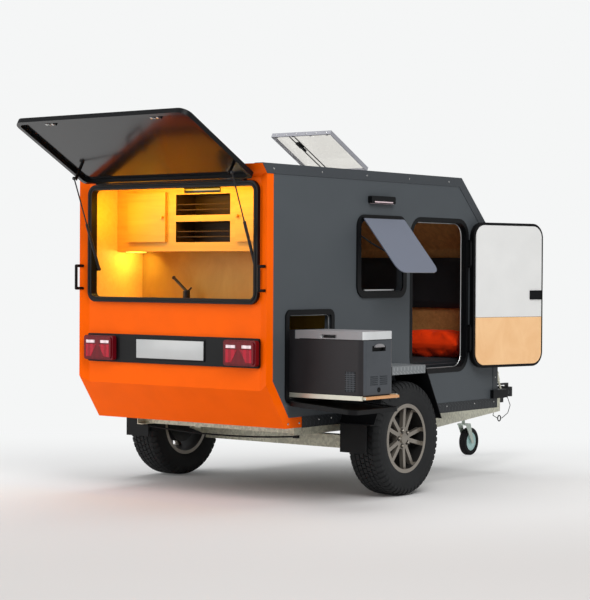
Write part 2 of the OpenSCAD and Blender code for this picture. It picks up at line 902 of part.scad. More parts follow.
module door_lining() {
  x0 = door_lap + lining_inset - door_pin_gap - door_w;
  z0 = door_low + lining_inset;
  zm = door_low + door_height / 2;
  w = door_length - 2 * lining_inset;
  h = door_height - 2 * lining_inset;
  color("#E6E6E4") along_y(door_thick / 2, door_thick / 2 + lining_thick) difference() {
    round_rect(x0, z0, w, h, door_round - lining_inset);
    translate([x0 - cut, z0 + lining_split_share * h]) square([w + 2 * cut, cut]);
    translate([x0 - cut, zm - latch_h / 2 - latch_gap])
      square([latch_w + latch_gap + cut, latch_h + 2 * latch_gap]);
  }
}

module door_right_pose() {
  translate([door_hinge_x, -door_hinge_y, 0]) rotate([0, 0, door_open]) children();
}

module door_left_pose() {
  mirror([0, 1, 0]) translate([door_hinge_x, -door_hinge_y, 0]) children();
}

module door_right() {
  door_right_pose() door_leaf();
}

module door_right_lining() {
  door_right_pose() door_lining();
}

module door_left() {
  door_left_pose() door_leaf();
}

module door_left_lining() {
  door_left_pose() door_lining();
}

// Flap folded down below the fridge bay, with its pocket upwards
module fridge_flap() {
  w = bay_length - 2 * cut;
  color(black) translate([bay_x + cut, -half - frame_proud - flap_seat, flap_hinge_z])
    rotate([flap_slope, 0, 0]) difference() {
      along_z(-flap_thick / 2, flap_thick / 2) round_rect(0, -flap_length, w, flap_length, bay_round);
      along_z(flap_thick / 2 - flap_pocket, flap_thick / 2 + cut)
        round_rect(flap_rim, flap_rim - flap_length, w - 2 * flap_rim, flap_length - 2 * flap_rim,
          bay_round - flap_rim);
    }
}

module slide_rails() {
  color(steel) for (x = [tray_x0, tray_x1 - tray_rail_w])
    block(x, x + tray_rail_w, -inner, tray_y1 + slide_travel, bay_floor, tray_low - running);
}

module slide_tray() {
  color(birch) block(tray_x0, tray_x1, tray_y0, tray_y1, tray_low, tray_top);
  color(steel) for (x = [tray_x0 - runner_w, tray_x1])
    block(x, x + runner_w, tray_y0 + tray_margin, tray_y1, tray_low - runner_drop, tray_top + runner_drop);
}

// Cool box with a plinth, vents and a carry grip in its outer end
module fridge_plan() {
  round_rect(fridge_x, fridge_outer_y, fridge_width, fridge_length, fridge_round);
}

// Cool box with a fixed cover over its compressor at the inner end
module fridge_box() {
  z1 = tray_top + fridge_height - fridge_lid_height;
  plinth = 8;
  vent_w = 74;
  slot_h = 5;
  slot_pitch = 11;
  slot_deep = 5;
  slots = 5;
  vent_z_share = 0.2;
  grip_w = 130;
  grip_h = 30;
  grip_deep = 18;
  grip_z_share = 0.8;
  xm = fridge_x + fridge_width / 2;
  box_h = z1 - tray_top;
  color("#4A4D50") difference() {
    union() {
      along_z(tray_top, tray_top + 2 * plinth)
        round_rect(fridge_x + plinth, fridge_outer_y + plinth, fridge_width - 2 * plinth,
          fridge_length - 2 * plinth, fridge_round - plinth);
      along_z(tray_top + plinth, z1) fridge_plan();
      difference() {
        along_z(z1 - cut, z1 + fridge_lid_height) fridge_plan();
        block(fridge_x - cut, fridge_x + fridge_width + cut, fridge_outer_y - cut, lid_inner_y + lid_gap, z1 - 2 * cut,
          z1 + fridge_lid_height + cut);
      }
    }
    along_z(tray_top + fridge_wall, z1 + cut)
      round_rect(fridge_x + fridge_wall, fridge_outer_y + fridge_wall, fridge_width - 2 * fridge_wall,
        lid_inner_y - fridge_outer_y - 2 * fridge_wall, fridge_round - fridge_wall);
    for (s = [-1, 1])
      for (i = [0 : slots - 1])
        translate([xm + s * vent_w * slot_centre_share, 0, tray_top + vent_z_share * box_h + i * slot_pitch])
          block(-vent_w / 2, vent_w / 2, fridge_outer_y - cut, fridge_outer_y + slot_deep, 0, slot_h);
    translate([0, 0, tray_top + grip_z_share * box_h])
      block(xm - grip_w / 2, xm + grip_w / 2, fridge_outer_y - cut, fridge_outer_y + grip_deep, 0, grip_h);
  }
}

slot_centre_share = 0.62;

module fridge_lid() {
  z0 = tray_top + fridge_height - fridge_lid_height;
  pull_w = 110;
  pull_h = 20;
  pull_deep = 9;
  pull_rise = 8;
  ym = (lid_inner_y + fridge_outer_y) / 2;
  color("#8E8A8C") difference() {
    along_z(z0, z0 + fridge_lid_height)
      fridge_plan();
    block(fridge_x - cut, fridge_x + fridge_width + cut, lid_inner_y, fridge_inner_y + cut, z0 - cut,
      z0 + fridge_lid_height + cut);
    block(fridge_x - cut, fridge_x + pull_deep, ym - pull_w / 2, ym + pull_w / 2, z0 + pull_rise,
      z0 + pull_rise + pull_h);
  }
}

// Back panel with its step, bay floor and the divider beside the fridge bay
module galley_carcass() {
  divider_y = tray_y1 + slide_travel + tray_margin;
  color(birch) {
    block(back_x, back_x + board, -inner, inner, ledge_z, roof_low);
    block(back_x, bulk_x + board, -inner, inner, ledge_z - board, ledge_z);
    block(bulk_x, bulk_x + board, -inner, inner, floor_top, ledge_z);
    block(tray_x0 - 2 * tray_margin, bulk_x, -inner, divider_y, bay_floor - board, bay_floor);
    block(strip_end, bulk_x, divider_y, divider_y + board, floor_top, ledge_z - board);
  }
}

module galley_cabinet() {
  color(birch) {
    difference() {
      block(cabinet_x, back_x, -inner, inner, cabinet_low, roof_low);
      for (share = cubby_shares)
        translate([0, 0, cabinet_low + share * cabinet_h])
          block(cabinet_x - cut, cabinet_x + cubby_depth, cubby_shift - cubby_half, cubby_shift + cubby_half,
            0, cubby_h);
      both_sides()
        block(cabinet_x - cut, cabinet_x + cubby_depth, cupboard_hinge_y - cupboard_w + board,
          cupboard_hinge_y - board, cupboard_low + board, cupboard_low + cupboard_h - board);
    }
    for (share = cubby_shares)
      for (rise = cubby_bar_shares)
        rod_y(cabinet_x + board, cabinet_low + share * cabinet_h + rise * cubby_h,
          cubby_shift - cubby_half - cut, cubby_shift + cubby_half + cut, cubby_bar_r);
  }
}

module cupboard() {
  x1 = cabinet_x - cupboard_gap;
  color(birch) {
    block(x1 - board, x1, cupboard_hinge_y - cupboard_w, cupboard_hinge_y, cupboard_low,
      cupboard_low + cupboard_h);
    rod_x(cupboard_hinge_y - cupboard_w + 2 * knob_r, cupboard_low + cupboard_h / 2, x1 - board - knob_l,
      x1 - board, knob_r);
    for (z = [cupboard_low + 2 * board, cupboard_low + cupboard_h - 3 * board])
      block(x1, cabinet_x, cupboard_hinge_y - board, cupboard_hinge_y, z, z + board);
  }
}

module cupboard_left() {
  cupboard();
}

module cupboard_right() {
  mirror([0, 1, 0]) cupboard();
}

module worktop() {
  color(birch) difference() {
    union() {
      block(panel_back, back_x, -inner, inner, ledge_z, worktop_top);
      rod_z(sink_x, sink_y, worktop_top - sink_depth, ledge_z, sink_r);
    }
    rod_z(sink_x, sink_y, worktop_top - sink_depth + sink_wall, worktop_top + cut, sink_r - sink_wall);
  }
}

module tap() {
  base_r = 22;
  spout_r = 9;
  stem = 70;
  reach = 130;
  lift = 52;
  tap_back = 90;
  tap_y = 240;
  lever_r = 6;
  lever_l = 50;
  tip_r = 12;
  x = back_x - tap_back;
  color(black) {
    rod_z(x, tap_y, worktop_top, worktop_top + stem, base_r);
    translate([x, tap_y, worktop_top + stem]) rotate([-lift, 0, 0]) {
      cylinder(h = reach, r = spout_r);
      translate([0, 0, reach]) sphere(tip_r);
    }
    translate([x, tap_y, worktop_top + stem - base_r / 2]) rotate([lift, 0, 0])
      cylinder(h = lever_l, r = lever_r);
  }
}

module bed_base() {
  color(birch) block(bulk_x + board, front - wall, -inner, inner, floor_top, bed_top);
}

board_low_share = 0.583;
board_high_share = 0.9595;
board_thick = 40;
board_side = 60;
bed_side = 10;
bed_foot = 20;

// Padded panel across the front wall with a birch ledge below it
module headboard() {
  z0 = up(slope_share * board_low_share);
  color(black) block(front - wall - board_thick, front - wall, board_side - inner, inner - board_side, z0,
    up(slope_share * board_high_share));
}

module mattress() {
  color("#33363C") block(bulk_x + board + bed_foot, front - wall - board_thick - bed_foot, bed_side - inner,
    inner - bed_side, bed_top, mattress_top);
}

module pillow() {
  x1 = front - wall - bed_foot;
  y0 = bed_foot - inner;
  color("#E03A10") block(x1 - pillow_width, x1, y0, y0 + pillow_length, mattress_top,
    mattress_top + pillow_thick);
}

// Plan of one rail: straight under the body, then turned to the drawbar
module rail_plan(x0, shift) {
  w = rail_width / 2;
  polygon([[x0, rail_offset - w - shift], [rail_bend, rail_offset - w - shift],
    [rail_front + shift, rail_tip - w - shift * (1 + rail_splay)],
    [rail_front + shift, rail_tip + w - shift * (1 + rail_splay)], [rail_bend, rail_offset + w - shift],
    [x0, rail_offset + w - shift]]);
}

module chassis_rails() {
  deep_x = -100;
  color(steel) both_sides() difference() {
    union() {
      along_z(rail_rear_low, rail_top) rail_plan(rail_rear_x, 0);
      along_z(rail_low, rail_top) rail_plan(deep_x, 0);
    }
    along_z(rail_rear_low + rail_sheet, rail_top - rail_sheet) rail_plan(rail_rear_x - cut, rail_sheet);
    along_z(rail_low + rail_sheet, rail_top - rail_sheet) rail_plan(deep_x + rail_sheet, rail_sheet);
  }
}

module cross_members() {
  w = rail_offset + rail_width / 2 - rail_sheet;
  member_w = 40;
  member_in = 60;
  color(steel) for (x = [rail_rear_x + member_in, rail_bend - member_in - member_w])
    block(x, x + member_w, -w, w, rail_rear_low + rail_sheet, rail_top - rail_sheet);
}

beam_x = 150;
beam_size = 80;
arm_thick = 18;
arm_half = 30;

module axle() {
  beam_back = beam_x - beam_size / 2;
  beam_front = beam_x + beam_size / 2;
  color(steel) {
    block(beam_back, beam_front, -arm_y, arm_y, rail_low - beam_size, rail_low);
    both_sides() {
      along_y(-arm_y - arm_thick, -arm_y)
        polygon([[beam_front, rail_low], [beam_front, rail_low - beam_size], [-arm_half, axle_z - arm_half],
          [-arm_half, axle_z + arm_half]]);
      rod_y(0, axle_z, -wheel_y, -arm_y - arm_thick, spindle_r);
    }
  }
}

lip_h = 50;
flap_flange = 30;
mud_low_share = 0.81;
mud_side = 31;
mud_thick = 6;

module fender_plate(t) {
  polygon([[-fender_foot - flap_flange, fender_low], [-fender_foot - flap_flange, fender_low + t],
    [t * fender_lean_share - fender_foot, fender_low + t], [-fender_flat, fender_top],
    [fender_flat, fender_top], [fender_foot, fender_low], [fender_foot - t, fender_low], [fender_flat - t / 2, fender_top - t],
    [t / 2 - fender_flat, fender_top - t], [t - fender_foot, fender_low]]);
}

module fenders() {
  color(grey) both_sides() difference() {
    fender();
    block(-2 * fender_foot, 2 * fender_foot, -half - trim_sheet, -half + cut, body_bottom - cut,
      body_bottom + wrap);
  }
}

module fender() {
  along_y(-half - fender_width, -half) fender_plate(fender_sheet);
  block(-fender_flat, fender_flat, -half - fender_width, fender_sheet - half - fender_width,
    fender_top - lip_h, fender_top - fender_sheet / 2);
}

module mudflaps() {
  x0 = -fender_foot - flap_flange;
  color(black) both_sides()
    block(x0, x0 + mud_thick, mud_side - half - fender_width, -half - mud_side, mud_low_share * tyre_r,
      fender_low);
}

module wheel_pose(side) {
  translate([0, side * wheel_y, axle_z]) rotate([-quarter * side, 0, 0]) children();
}

// Half width of the tyre between its bead and its tread, as a share
function tyre_half_share(t) = t < 0.5 ? bead_share + (1 - bead_share) * sin(2 * quarter * t)
  : 1 - crown_share * pow(2 * t - 1, 4);

module tyre_profile() {
  w = tyre_width / 2;
  steps = 14;
  hollow = 22;
  flat = [for (i = [0 : steps]) i / steps];
  difference() {
    polygon(concat([for (t = flat) [seat_r + t * (tyre_r - seat_r), tyre_half_share(t) * w]],
      [for (i = [steps : -1 : 0]) [seat_r + flat[i] * (tyre_r - seat_r), -tyre_half_share(flat[i]) * w]]));
    translate([0, hollow - rim_half]) square([tyre_r - hollow, 2 * (rim_half - hollow)]);
    for (s = [0, 1])
      mirror([0, s]) translate([0, rim_half]) square([rim_r + running, tyre_width]);
  }
}

module tyre_left() {
  color(black) wheel_pose(1) rotate_extrude() tyre_profile();
}

module tyre_right() {
  color(black) wheel_pose(-1) rotate_extrude() tyre_profile();
}

// Alloy wheel with five twin spokes, its hub and brake drum
module rim() {
  barrel = 6;
  flange = 7;
  dish = 16;
  spokes = 5;
  spoke_w = 24;
  spoke_t = 26;
  splay = 13;
  hub_r = 66;
  hub_t = 34;
  cap_r = 32;
  cap_t = 8;
  neck_r = 45;
  neck_l = 60;
  drum_r = 125;
  drum_l = 60;
  face = rim_half - dish;
  color("#8A857C") difference() {
    union() {
      rotate_extrude() polygon([[seat_r - barrel, -rim_half - flange], [rim_r, -rim_half - flange],
        [rim_r, -rim_half], [seat_r, -rim_half], [seat_r, rim_half], [rim_r, rim_half],
        [rim_r, rim_half + flange], [seat_r - barrel, rim_half + flange]]);
      translate([0, 0, face - hub_t]) cylinder(h = hub_t, r = hub_r);
      translate([0, 0, face]) cylinder(h = cap_t, r = cap_r);
      translate([0, 0, -neck_l]) cylinder(h = neck_l + face - hub_t / 2, r = neck_r);
      translate([0, 0, -neck_l]) cylinder(h = drum_l, r = drum_r);
      for (i = [0 : spokes - 1])
        for (s = [-1, 1])
          rotate(turn / spokes * i + s * splay) translate([hub_r / 2, -spoke_w / 2, face - spoke_t])
            cube([seat_r - barrel / 2 - hub_r / 2, spoke_w, spoke_t]);
    }
    translate([0, 0, -tyre_width]) cylinder(h = tyre_width, r = spindle_r + running);
  }
}

module rim_left() {
  wheel_pose(1) rim();
}

module rim_right() {
  wheel_pose(-1) rim();
}

house_back = 90;
house_front = 130;
house_half = rail_tip - rail_width / 2;
house_low = 70;
house_high = 30;
bellows_r = 46;
bellows_ring = 7;
bellows_rings = 5;
head_back = 60;

// Overrun housing bolted between the rail ends, with its rubber bellows
module overrun_housing() {
  x0 = rail_front - house_back;
  x1 = rail_front + house_front;
  x2 = ball_reach - head_back;
  step = (x2 - x1) / bellows_rings;
  color(black) {
    block(x0, x1, -house_half, house_half, ball_height - house_low, ball_height + house_high);
    rod_x(0, ball_height, x1, x2, bellows_r - bellows_ring);
    for (i = [0 : bellows_rings - 1])
      rod_x(0, ball_height, x1 + i * step, x1 + i * step + step / 2, bellows_r);
  }
}

head_r = 38;
head_neck_r = 34;
head_low = 34;
head_high = 36;

module coupling_head() {
  grip_l = 120;
  grip_w = 22;
  grip_t = 12;
  grip_rise = 18;
  color(steel) difference() {
    union() {
      rod_x(0, ball_height, ball_reach - head_back, ball_reach, head_neck_r);
      rod_z(ball_reach, 0, ball_height - head_low, ball_height + head_high, head_r);
      block(ball_reach - grip_l, ball_reach, -grip_w / 2, grip_w / 2,
        ball_height + head_high - cut + grip_rise, ball_height + head_high + grip_rise + grip_t);
      block(ball_reach - grip_w, ball_reach, -grip_w / 2, grip_w / 2, ball_height + head_high - cut,
        ball_height + head_high + grip_rise + grip_t);
    }
    rod_z(ball_reach, 0, ball_height - head_low - cut, ball_height, socket_r);
    translate([ball_reach, 0, ball_height]) sphere(socket_r);
  }
}

lever_x = 90;
lever_gap = 9;
lever_y = house_half + lever_gap;
lever_r = 8;
lever_top = [-74, 150];
lever_grip_r = 12;
lever_ball_r = 17;

// Handbrake lever pivoted on the right of the housing
module handbrake_lever() {
  x = rail_front + lever_x;
  boss_r = 22;
  z = ball_height;
  grip_share = 0.35;
  lever_share = 0.8;
  color(black) {
    rod_y(x, z, -lever_y - lever_r, -house_half, boss_r);
    bar([x, -lever_y, z],
      [x + lever_share * lever_top[0], -lever_y, z + lever_share * lever_top[1]], lever_r);
    bar([x + (1 - grip_share) * lever_top[0], -lever_y, z + (1 - grip_share) * lever_top[1]],
      [x + lever_top[0], -lever_y, z + lever_top[1]], lever_grip_r);
    translate([x + lever_top[0], -lever_y, z + lever_top[1]]) sphere(lever_ball_r);
  }
}

jockey_top = 620;
jockey_tube_low_share = 2.6;
jockey_stem_l = 100;
clamp_low = 40;
clamp_h = 50;
clamp_half = 20;

// Outer tube in its clamp on the left rail, with the winding crank on top
module jockey_clamp() {
  web_y = rail_tip + (rail_front - jockey_x) * rail_splay + rail_width / 2 - rail_sheet - running;
  web_run = clamp_half * rail_splay;
  z0 = jockey_tube_low_share * jockey_r;
  crank_r = 7;
  crank_l = 90;
  crank_h = 60;
  wall_in = 6;
  clamp_y = jockey_y + jockey_tube_r - wall_in;
  color(steel) {
    difference() {
      rod_z(jockey_x, jockey_y, z0, jockey_top, jockey_tube_r);
      rod_z(jockey_x, jockey_y, z0 - cut, jockey_head + jockey_stem_l + cut, jockey_stem_r + running);
    }
    along_z(rail_low + clamp_low, rail_low + clamp_low + clamp_h)
      polygon([[jockey_x - clamp_half, clamp_y], [jockey_x + clamp_half, clamp_y],
        [jockey_x + clamp_half, web_y - web_run], [jockey_x - clamp_half, web_y + web_run]]);
    rod_z(jockey_x, jockey_y, jockey_top - cut, jockey_top + crank_h, crank_r);
    bar([jockey_x, jockey_y, jockey_top + crank_h], [jockey_x - crank_l, jockey_y, jockey_top + crank_h],
      crank_r);
    rod_z(jockey_x - crank_l, jockey_y, jockey_top + crank_h - crank_r, jockey_top + 2 * crank_h, crank_r);
  }
}

module jockey_fork() {
  plate_t = 12;
  back = 24;
  fore = 40;
  foot = 14;
  z1 = jockey_head + fork_sheet;
  xw = jockey_x + jockey_trail;
  color("#9FD0CC") {
    rod_z(jockey_x, jockey_y, jockey_head, jockey_head + jockey_stem_l, jockey_stem_r);
    block(jockey_x - back, jockey_x + fore, jockey_y - fork_half - fork_sheet,
      jockey_y + fork_half + fork_sheet, z1 - plate_t, z1);
    for (s = [-1, 1])
      translate([0, jockey_y + s * (fork_half + fork_sheet / 2), 0]) along_y(-fork_sheet / 2, fork_sheet / 2)
        polygon([[jockey_x - back, z1], [jockey_x + fore, z1], [xw + foot, jockey_r - foot],
          [xw - foot, jockey_r - foot]]);
    rod_y(xw, jockey_r, jockey_y - fork_half, jockey_y + fork_half, jockey_pin_r);
  }
}

module jockey_wheel() {
  w = jockey_width / 2;
  edge = 12;
  bore = jockey_pin_r + running;
  dish_in = 24;
  dish_out_share = 0.68;
  dish_deep = 8;
  color(black) translate([jockey_x + jockey_trail, jockey_y, jockey_r]) rotate([quarter, 0, 0])
    rotate_extrude() difference() {
      union() {
        translate([bore, -w]) square([jockey_r - edge - bore, 2 * w]);
        translate([bore, edge - w]) square([jockey_r - bore, 2 * (w - edge)]);
        translate([jockey_r - edge, w - edge]) circle(edge);
        translate([jockey_r - edge, edge - w]) circle(edge);
      }
      for (z = [w - dish_deep, -w - cut])
        translate([dish_in, z]) square([dish_out_share * jockey_r - dish_in, dish_deep + cut]);
    }
}

module roof_hatch_frame() {
  color("#C8CACB") {
    difference() {
      block(vent_x - vent_size, vent_x, -vent_half, vent_half, roof_height, roof_height + vent_frame_h);
      vent_hole(roof_height, roof_height + vent_frame_h);
    }
    for (s = [-1, 1])
      block(vent_x, vent_hinge_x + vent_barrel_r, s * vent_ear_y - vent_barrel_r,
        s * vent_ear_y + vent_barrel_r, roof_height, vent_hinge_z + vent_barrel_r);
    rod_y(vent_hinge_x, vent_hinge_z, -vent_ear_y, vent_ear_y, vent_pin_r);
  }
}

module roof_hatch_lid() {
  x0 = -vent_size - vent_over - vent_barrel_r;
  y1 = vent_half + vent_over;
  zm = vent_lift + vent_rim / 2;
  color("#D8DADC") translate([vent_hinge_x, 0, vent_hinge_z]) rotate([0, vent_open, 0]) {
    difference() {
      block(x0, -vent_barrel_r, -y1, y1, vent_lift, vent_lift + vent_rim);
      block(x0 + vent_skin, -vent_barrel_r - vent_skin, vent_skin - y1, y1 - vent_skin, vent_lift - cut,
        vent_lift + vent_rim - vent_skin);
    }
    for (s = [-1, 1])
      translate([0, s * vent_arm_y, 0]) difference() {
        union() {
          rod_y(0, 0, -vent_arm_w / 2, vent_arm_w / 2, vent_barrel_r);
          block(-vent_barrel_r, vent_barrel_r, -vent_arm_w / 2, vent_arm_w / 2, 0, zm);
          block(-vent_barrel_r - vent_skin, vent_barrel_r, -vent_arm_w / 2, vent_arm_w / 2,
            vent_lift + vent_skin, zm);
        }
        rod_y(0, 0, -vent_arm_w, vent_arm_w, vent_pin_r + running);
      }
  }
}

loom_r = 5;
loom_clip = 22;
loom_in = 60;
loom_sag = 26;
loom_arc_facets = 1800;
loom_round_facets = 32;

// Lamp cable hung between the rails behind the axle, held by a clip under each rail
module wiring_loom() {
  loom_x = rail_rear_x + loom_in;
  end_z = rail_rear_low - 2 * loom_r;
  sweep_r = rail_offset * rail_offset / (2 * loom_sag) + loom_sag / 2;
  half_turn = asin(rail_offset / sweep_r);
  color(black) {
    translate([loom_x, 0, end_z + sweep_r - loom_sag]) rotate([0, quarter, 0]) rotate([0, 0, -half_turn])
      rotate_extrude(angle = 2 * half_turn, $fn = loom_arc_facets) translate([sweep_r, 0])
        circle(loom_r, $fn = loom_round_facets);
    both_sides()
      block(loom_x - loom_clip / 2, loom_x + loom_clip / 2, rail_offset - loom_clip, rail_offset + loom_clip / 2,
        end_z - 2 * loom_r, rail_rear_low);
  }
}

cord_r = 2.5;
hook_r = 20;
hook_wire_r = 4;
cord_drops = [0, 40, 95, 150, 182];
cord_runs = [0, 70, 105, 70, -10];

// Breakaway cable from the handbrake boss round to the right rail, with its snap hook
module breakaway_cable() {
  x = rail_front + lever_x;
  y = -lever_y - lever_r;
  hook = [x + cord_runs[4] - 2 * hook_r, y - cord_r, ball_height - cord_drops[4]];
  end_x = rail_front - house_back;
  end_y = -rail_tip - (rail_front - end_x) * rail_splay;
  color("#8A8C8E") {
    cable(concat([for (i = [0 : len(cord_runs) - 1])
      [x + cord_runs[i], y - cord_r, ball_height - cord_drops[i]]], [hook + [hook_r, 0, 0]]), cord_r);
    translate(hook) rotate([quarter, 0, 0]) rotate_extrude() translate([hook_r, 0]) circle(hook_wire_r);
    cable([hook - [hook_r, 0, 0], [end_x + hook_r, (y + end_y) / 2, (hook[2] + rail_low) / 2],
      [end_x, end_y, rail_low - cord_r]], cord_r);
    rod_z(end_x, end_y, rail_low - 2 * cord_r, rail_low, 2 * cord_r);
  }
}

placed() floor_panel();
placed() side_wall_right();
placed() side_wall_left();
placed() roof_panel();
placed() front_wall();
placed() rear_shell();
placed() edge_trims();
placed() sills();
placed() front_bumper();
placed() hatch_frame();
placed() lamp_bar();
placed() tail_lamps();
placed() grab_handles();
placed() opening_frames();
placed() door_frames();
placed() window_panes();
placed() side_lamps();
placed() fridge_flap();
placed() slide_rails();
placed() galley_carcass();
placed() galley_cabinet();
placed() worktop();
placed() tap();
placed() bed_base();
placed() headboard();
placed() mattress();
placed() pillow();
placed() chassis_rails();
placed() cross_members();
placed() axle();
placed() fenders();
placed() mudflaps();
placed() overrun_housing();
placed() coupling_head();
placed() handbrake_lever();
placed() jockey_clamp();
placed() roof_hatch_frame();
placed() wiring_loom();
placed() breakaway_cable();
placed() rear_hatch();
placed() strut_tube_left();
placed() strut_tube_right();
placed() strut_rod_left();
placed() strut_rod_right();
placed() door_right();
placed() door_right_lining();
placed() door_left();
placed() door_left_lining();
placed() roof_hatch_lid();
placed() slide_tray();
placed() fridge_box();
placed() fridge_lid();
placed() tyre_left();
placed() tyre_right();
placed() rim_left();
placed() rim_right();
placed() jockey_fork();
placed() jockey_wheel();
placed() cupboard_left();
placed() cupboard_right();
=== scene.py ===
"""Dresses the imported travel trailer: finishes, soft goods, small fittings, light and camera."""

from __future__ import annotations

import logging
import math
from dataclasses import dataclass
from enum import Enum
from typing import Any, Callable, Dict, List, Optional, Sequence, Tuple, Union

import bmesh
import bpy
from mathutils import Matrix, Vector, noise


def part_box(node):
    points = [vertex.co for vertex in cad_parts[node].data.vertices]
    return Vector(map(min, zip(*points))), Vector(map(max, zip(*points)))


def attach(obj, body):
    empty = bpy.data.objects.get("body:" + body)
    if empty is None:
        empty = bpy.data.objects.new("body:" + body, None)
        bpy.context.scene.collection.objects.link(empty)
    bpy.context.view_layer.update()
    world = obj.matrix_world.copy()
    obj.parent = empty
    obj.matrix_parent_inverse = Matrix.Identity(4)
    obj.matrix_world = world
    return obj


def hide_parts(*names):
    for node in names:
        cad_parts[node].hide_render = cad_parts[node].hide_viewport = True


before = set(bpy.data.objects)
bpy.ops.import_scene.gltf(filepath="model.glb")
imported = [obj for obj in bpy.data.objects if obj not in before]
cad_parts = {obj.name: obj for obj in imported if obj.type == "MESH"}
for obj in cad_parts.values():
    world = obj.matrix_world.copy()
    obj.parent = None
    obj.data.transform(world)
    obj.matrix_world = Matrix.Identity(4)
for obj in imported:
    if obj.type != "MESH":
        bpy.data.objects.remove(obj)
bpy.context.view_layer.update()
LOG = logging.getLogger("trailer")
Point = Tuple[float, float, float]
Socket = bpy.types.NodeSocket
Tree = bpy.types.NodeTree
Node = bpy.types.Node
Corner = bmesh.types.BMVert

# The drawing frame stands on the road under the wheel axis, in millimetres.
BALL_REACH_MM = 2750.0
BALL_HEIGHT_MM = 445.0
HALF_WIDTH_MM = 725.0
REAR_MM = -1052.0
FRONT_MM = 1414.0
ROOF_MM = 1936.0


def road(x: float, y: float, z: float) -> Vector:
    """Turns a point above the road into the part's frame.

    Args:
        x: Millimetres ahead of the wheel axis.
        y: Millimetres left of the centre plane.
        z: Millimetres above the road.

    Returns:
        The point in metres from the tow ball.
    """
    return Vector(((x - BALL_REACH_MM) / 1000.0, y / 1000.0, (z - BALL_HEIGHT_MM) / 1000.0))


def polar(radius: float, angle: float, height: float) -> Vector:
    """Gives a point round an upright axis.

    Args:
        radius: Distance from the axis.
        angle: Turn about the axis in radians.
        height: Place along the axis.

    Returns:
        The point.
    """
    return Vector((radius * math.cos(angle), radius * math.sin(angle), height))


def linear(code: str) -> Tuple[float, float, float, float]:
    """Turns an sRGB hex value into linear colour.

    Args:
        code: Six hex digits after a hash sign.

    Returns:
        Red, green, blue and full alpha.
    """
    parts = [int(code[i : i + 2], 16) / 255.0 for i in (1, 3, 5)]
    lin = [c / 12.92 if c <= 0.04045 else ((c + 0.055) / 1.055) ** 2.4 for c in parts]
    return (lin[0], lin[1], lin[2], 1.0)


def add_node(
    tree: Tree,
    kind: str,
    settings: Optional[Dict[Any, Any]] = None,
    links: Optional[Dict[Any, Socket]] = None,
) -> Node:
    """Adds a shader node with its settings and links.

    Args:
        tree: Node tree of the material or world.
        kind: Blender's name of the node type.
        settings: Attribute names, or input names or numbers, with their values.
        links: Input names or numbers with the sockets that feed them.

    Returns:
        The new node.
    """
    made = tree.nodes.new(kind)
    for key, value in (settings or {}).items():
        if isinstance(key, str) and hasattr(made, key):
            setattr(made, key, value)
        else:
            made.inputs[key].default_value = value
    for key, source in (links or {}).items():
        tree.links.new(source, made.inputs[key])
    return made


def maths(tree: Tree, operation: str, *terms: Union[Socket, float]) -> Socket:
    """Adds a node that works out one value.

    Args:
        tree: Node tree of the material or world.
        operation: Blender's name of the operation.
        terms: Sockets or fixed numbers, in order.

    Returns:
        The socket of the result.
    """
    fixed: Dict[Any, Any] = {k: term for k, term in enumerate(terms) if isinstance(term, float)}
    linked = {k: term for k, term in enumerate(terms) if k not in fixed}
    return add_node(tree, "ShaderNodeMath", {"operation": operation, **fixed}, linked).outputs[0]


def remap(
    tree: Tree,
    value: Socket,
    source: Tuple[float, float] = (0.0, 1.0),
    target: Tuple[float, float] = (0.0, 1.0),
    curve: str = "LINEAR",
) -> Socket:
    """Maps a value from one range to another.

    Args:
        tree: Node tree of the material or world.
        value: The value to map.
        source: Range that it comes from.
        target: Range that it goes to.
        curve: Blender's name of the interpolation.

    Returns:
        The socket of the result.
    """
    ends = {"From Min": source[0], "From Max": source[1], "To Min": target[0], "To Max": target[1]}
    made = add_node(tree, "ShaderNodeMapRange", {"interpolation_type": curve, **ends}, {"Value": value})
    return made.outputs[0]


class Grain(Enum):
    """Direction that a board's grain runs in."""

    ACROSS = (14.0, 1.0, 14.0)
    ALONG = (1.0, 14.0, 14.0)
    CLOUDED = (3.0, 3.0, 2.0)


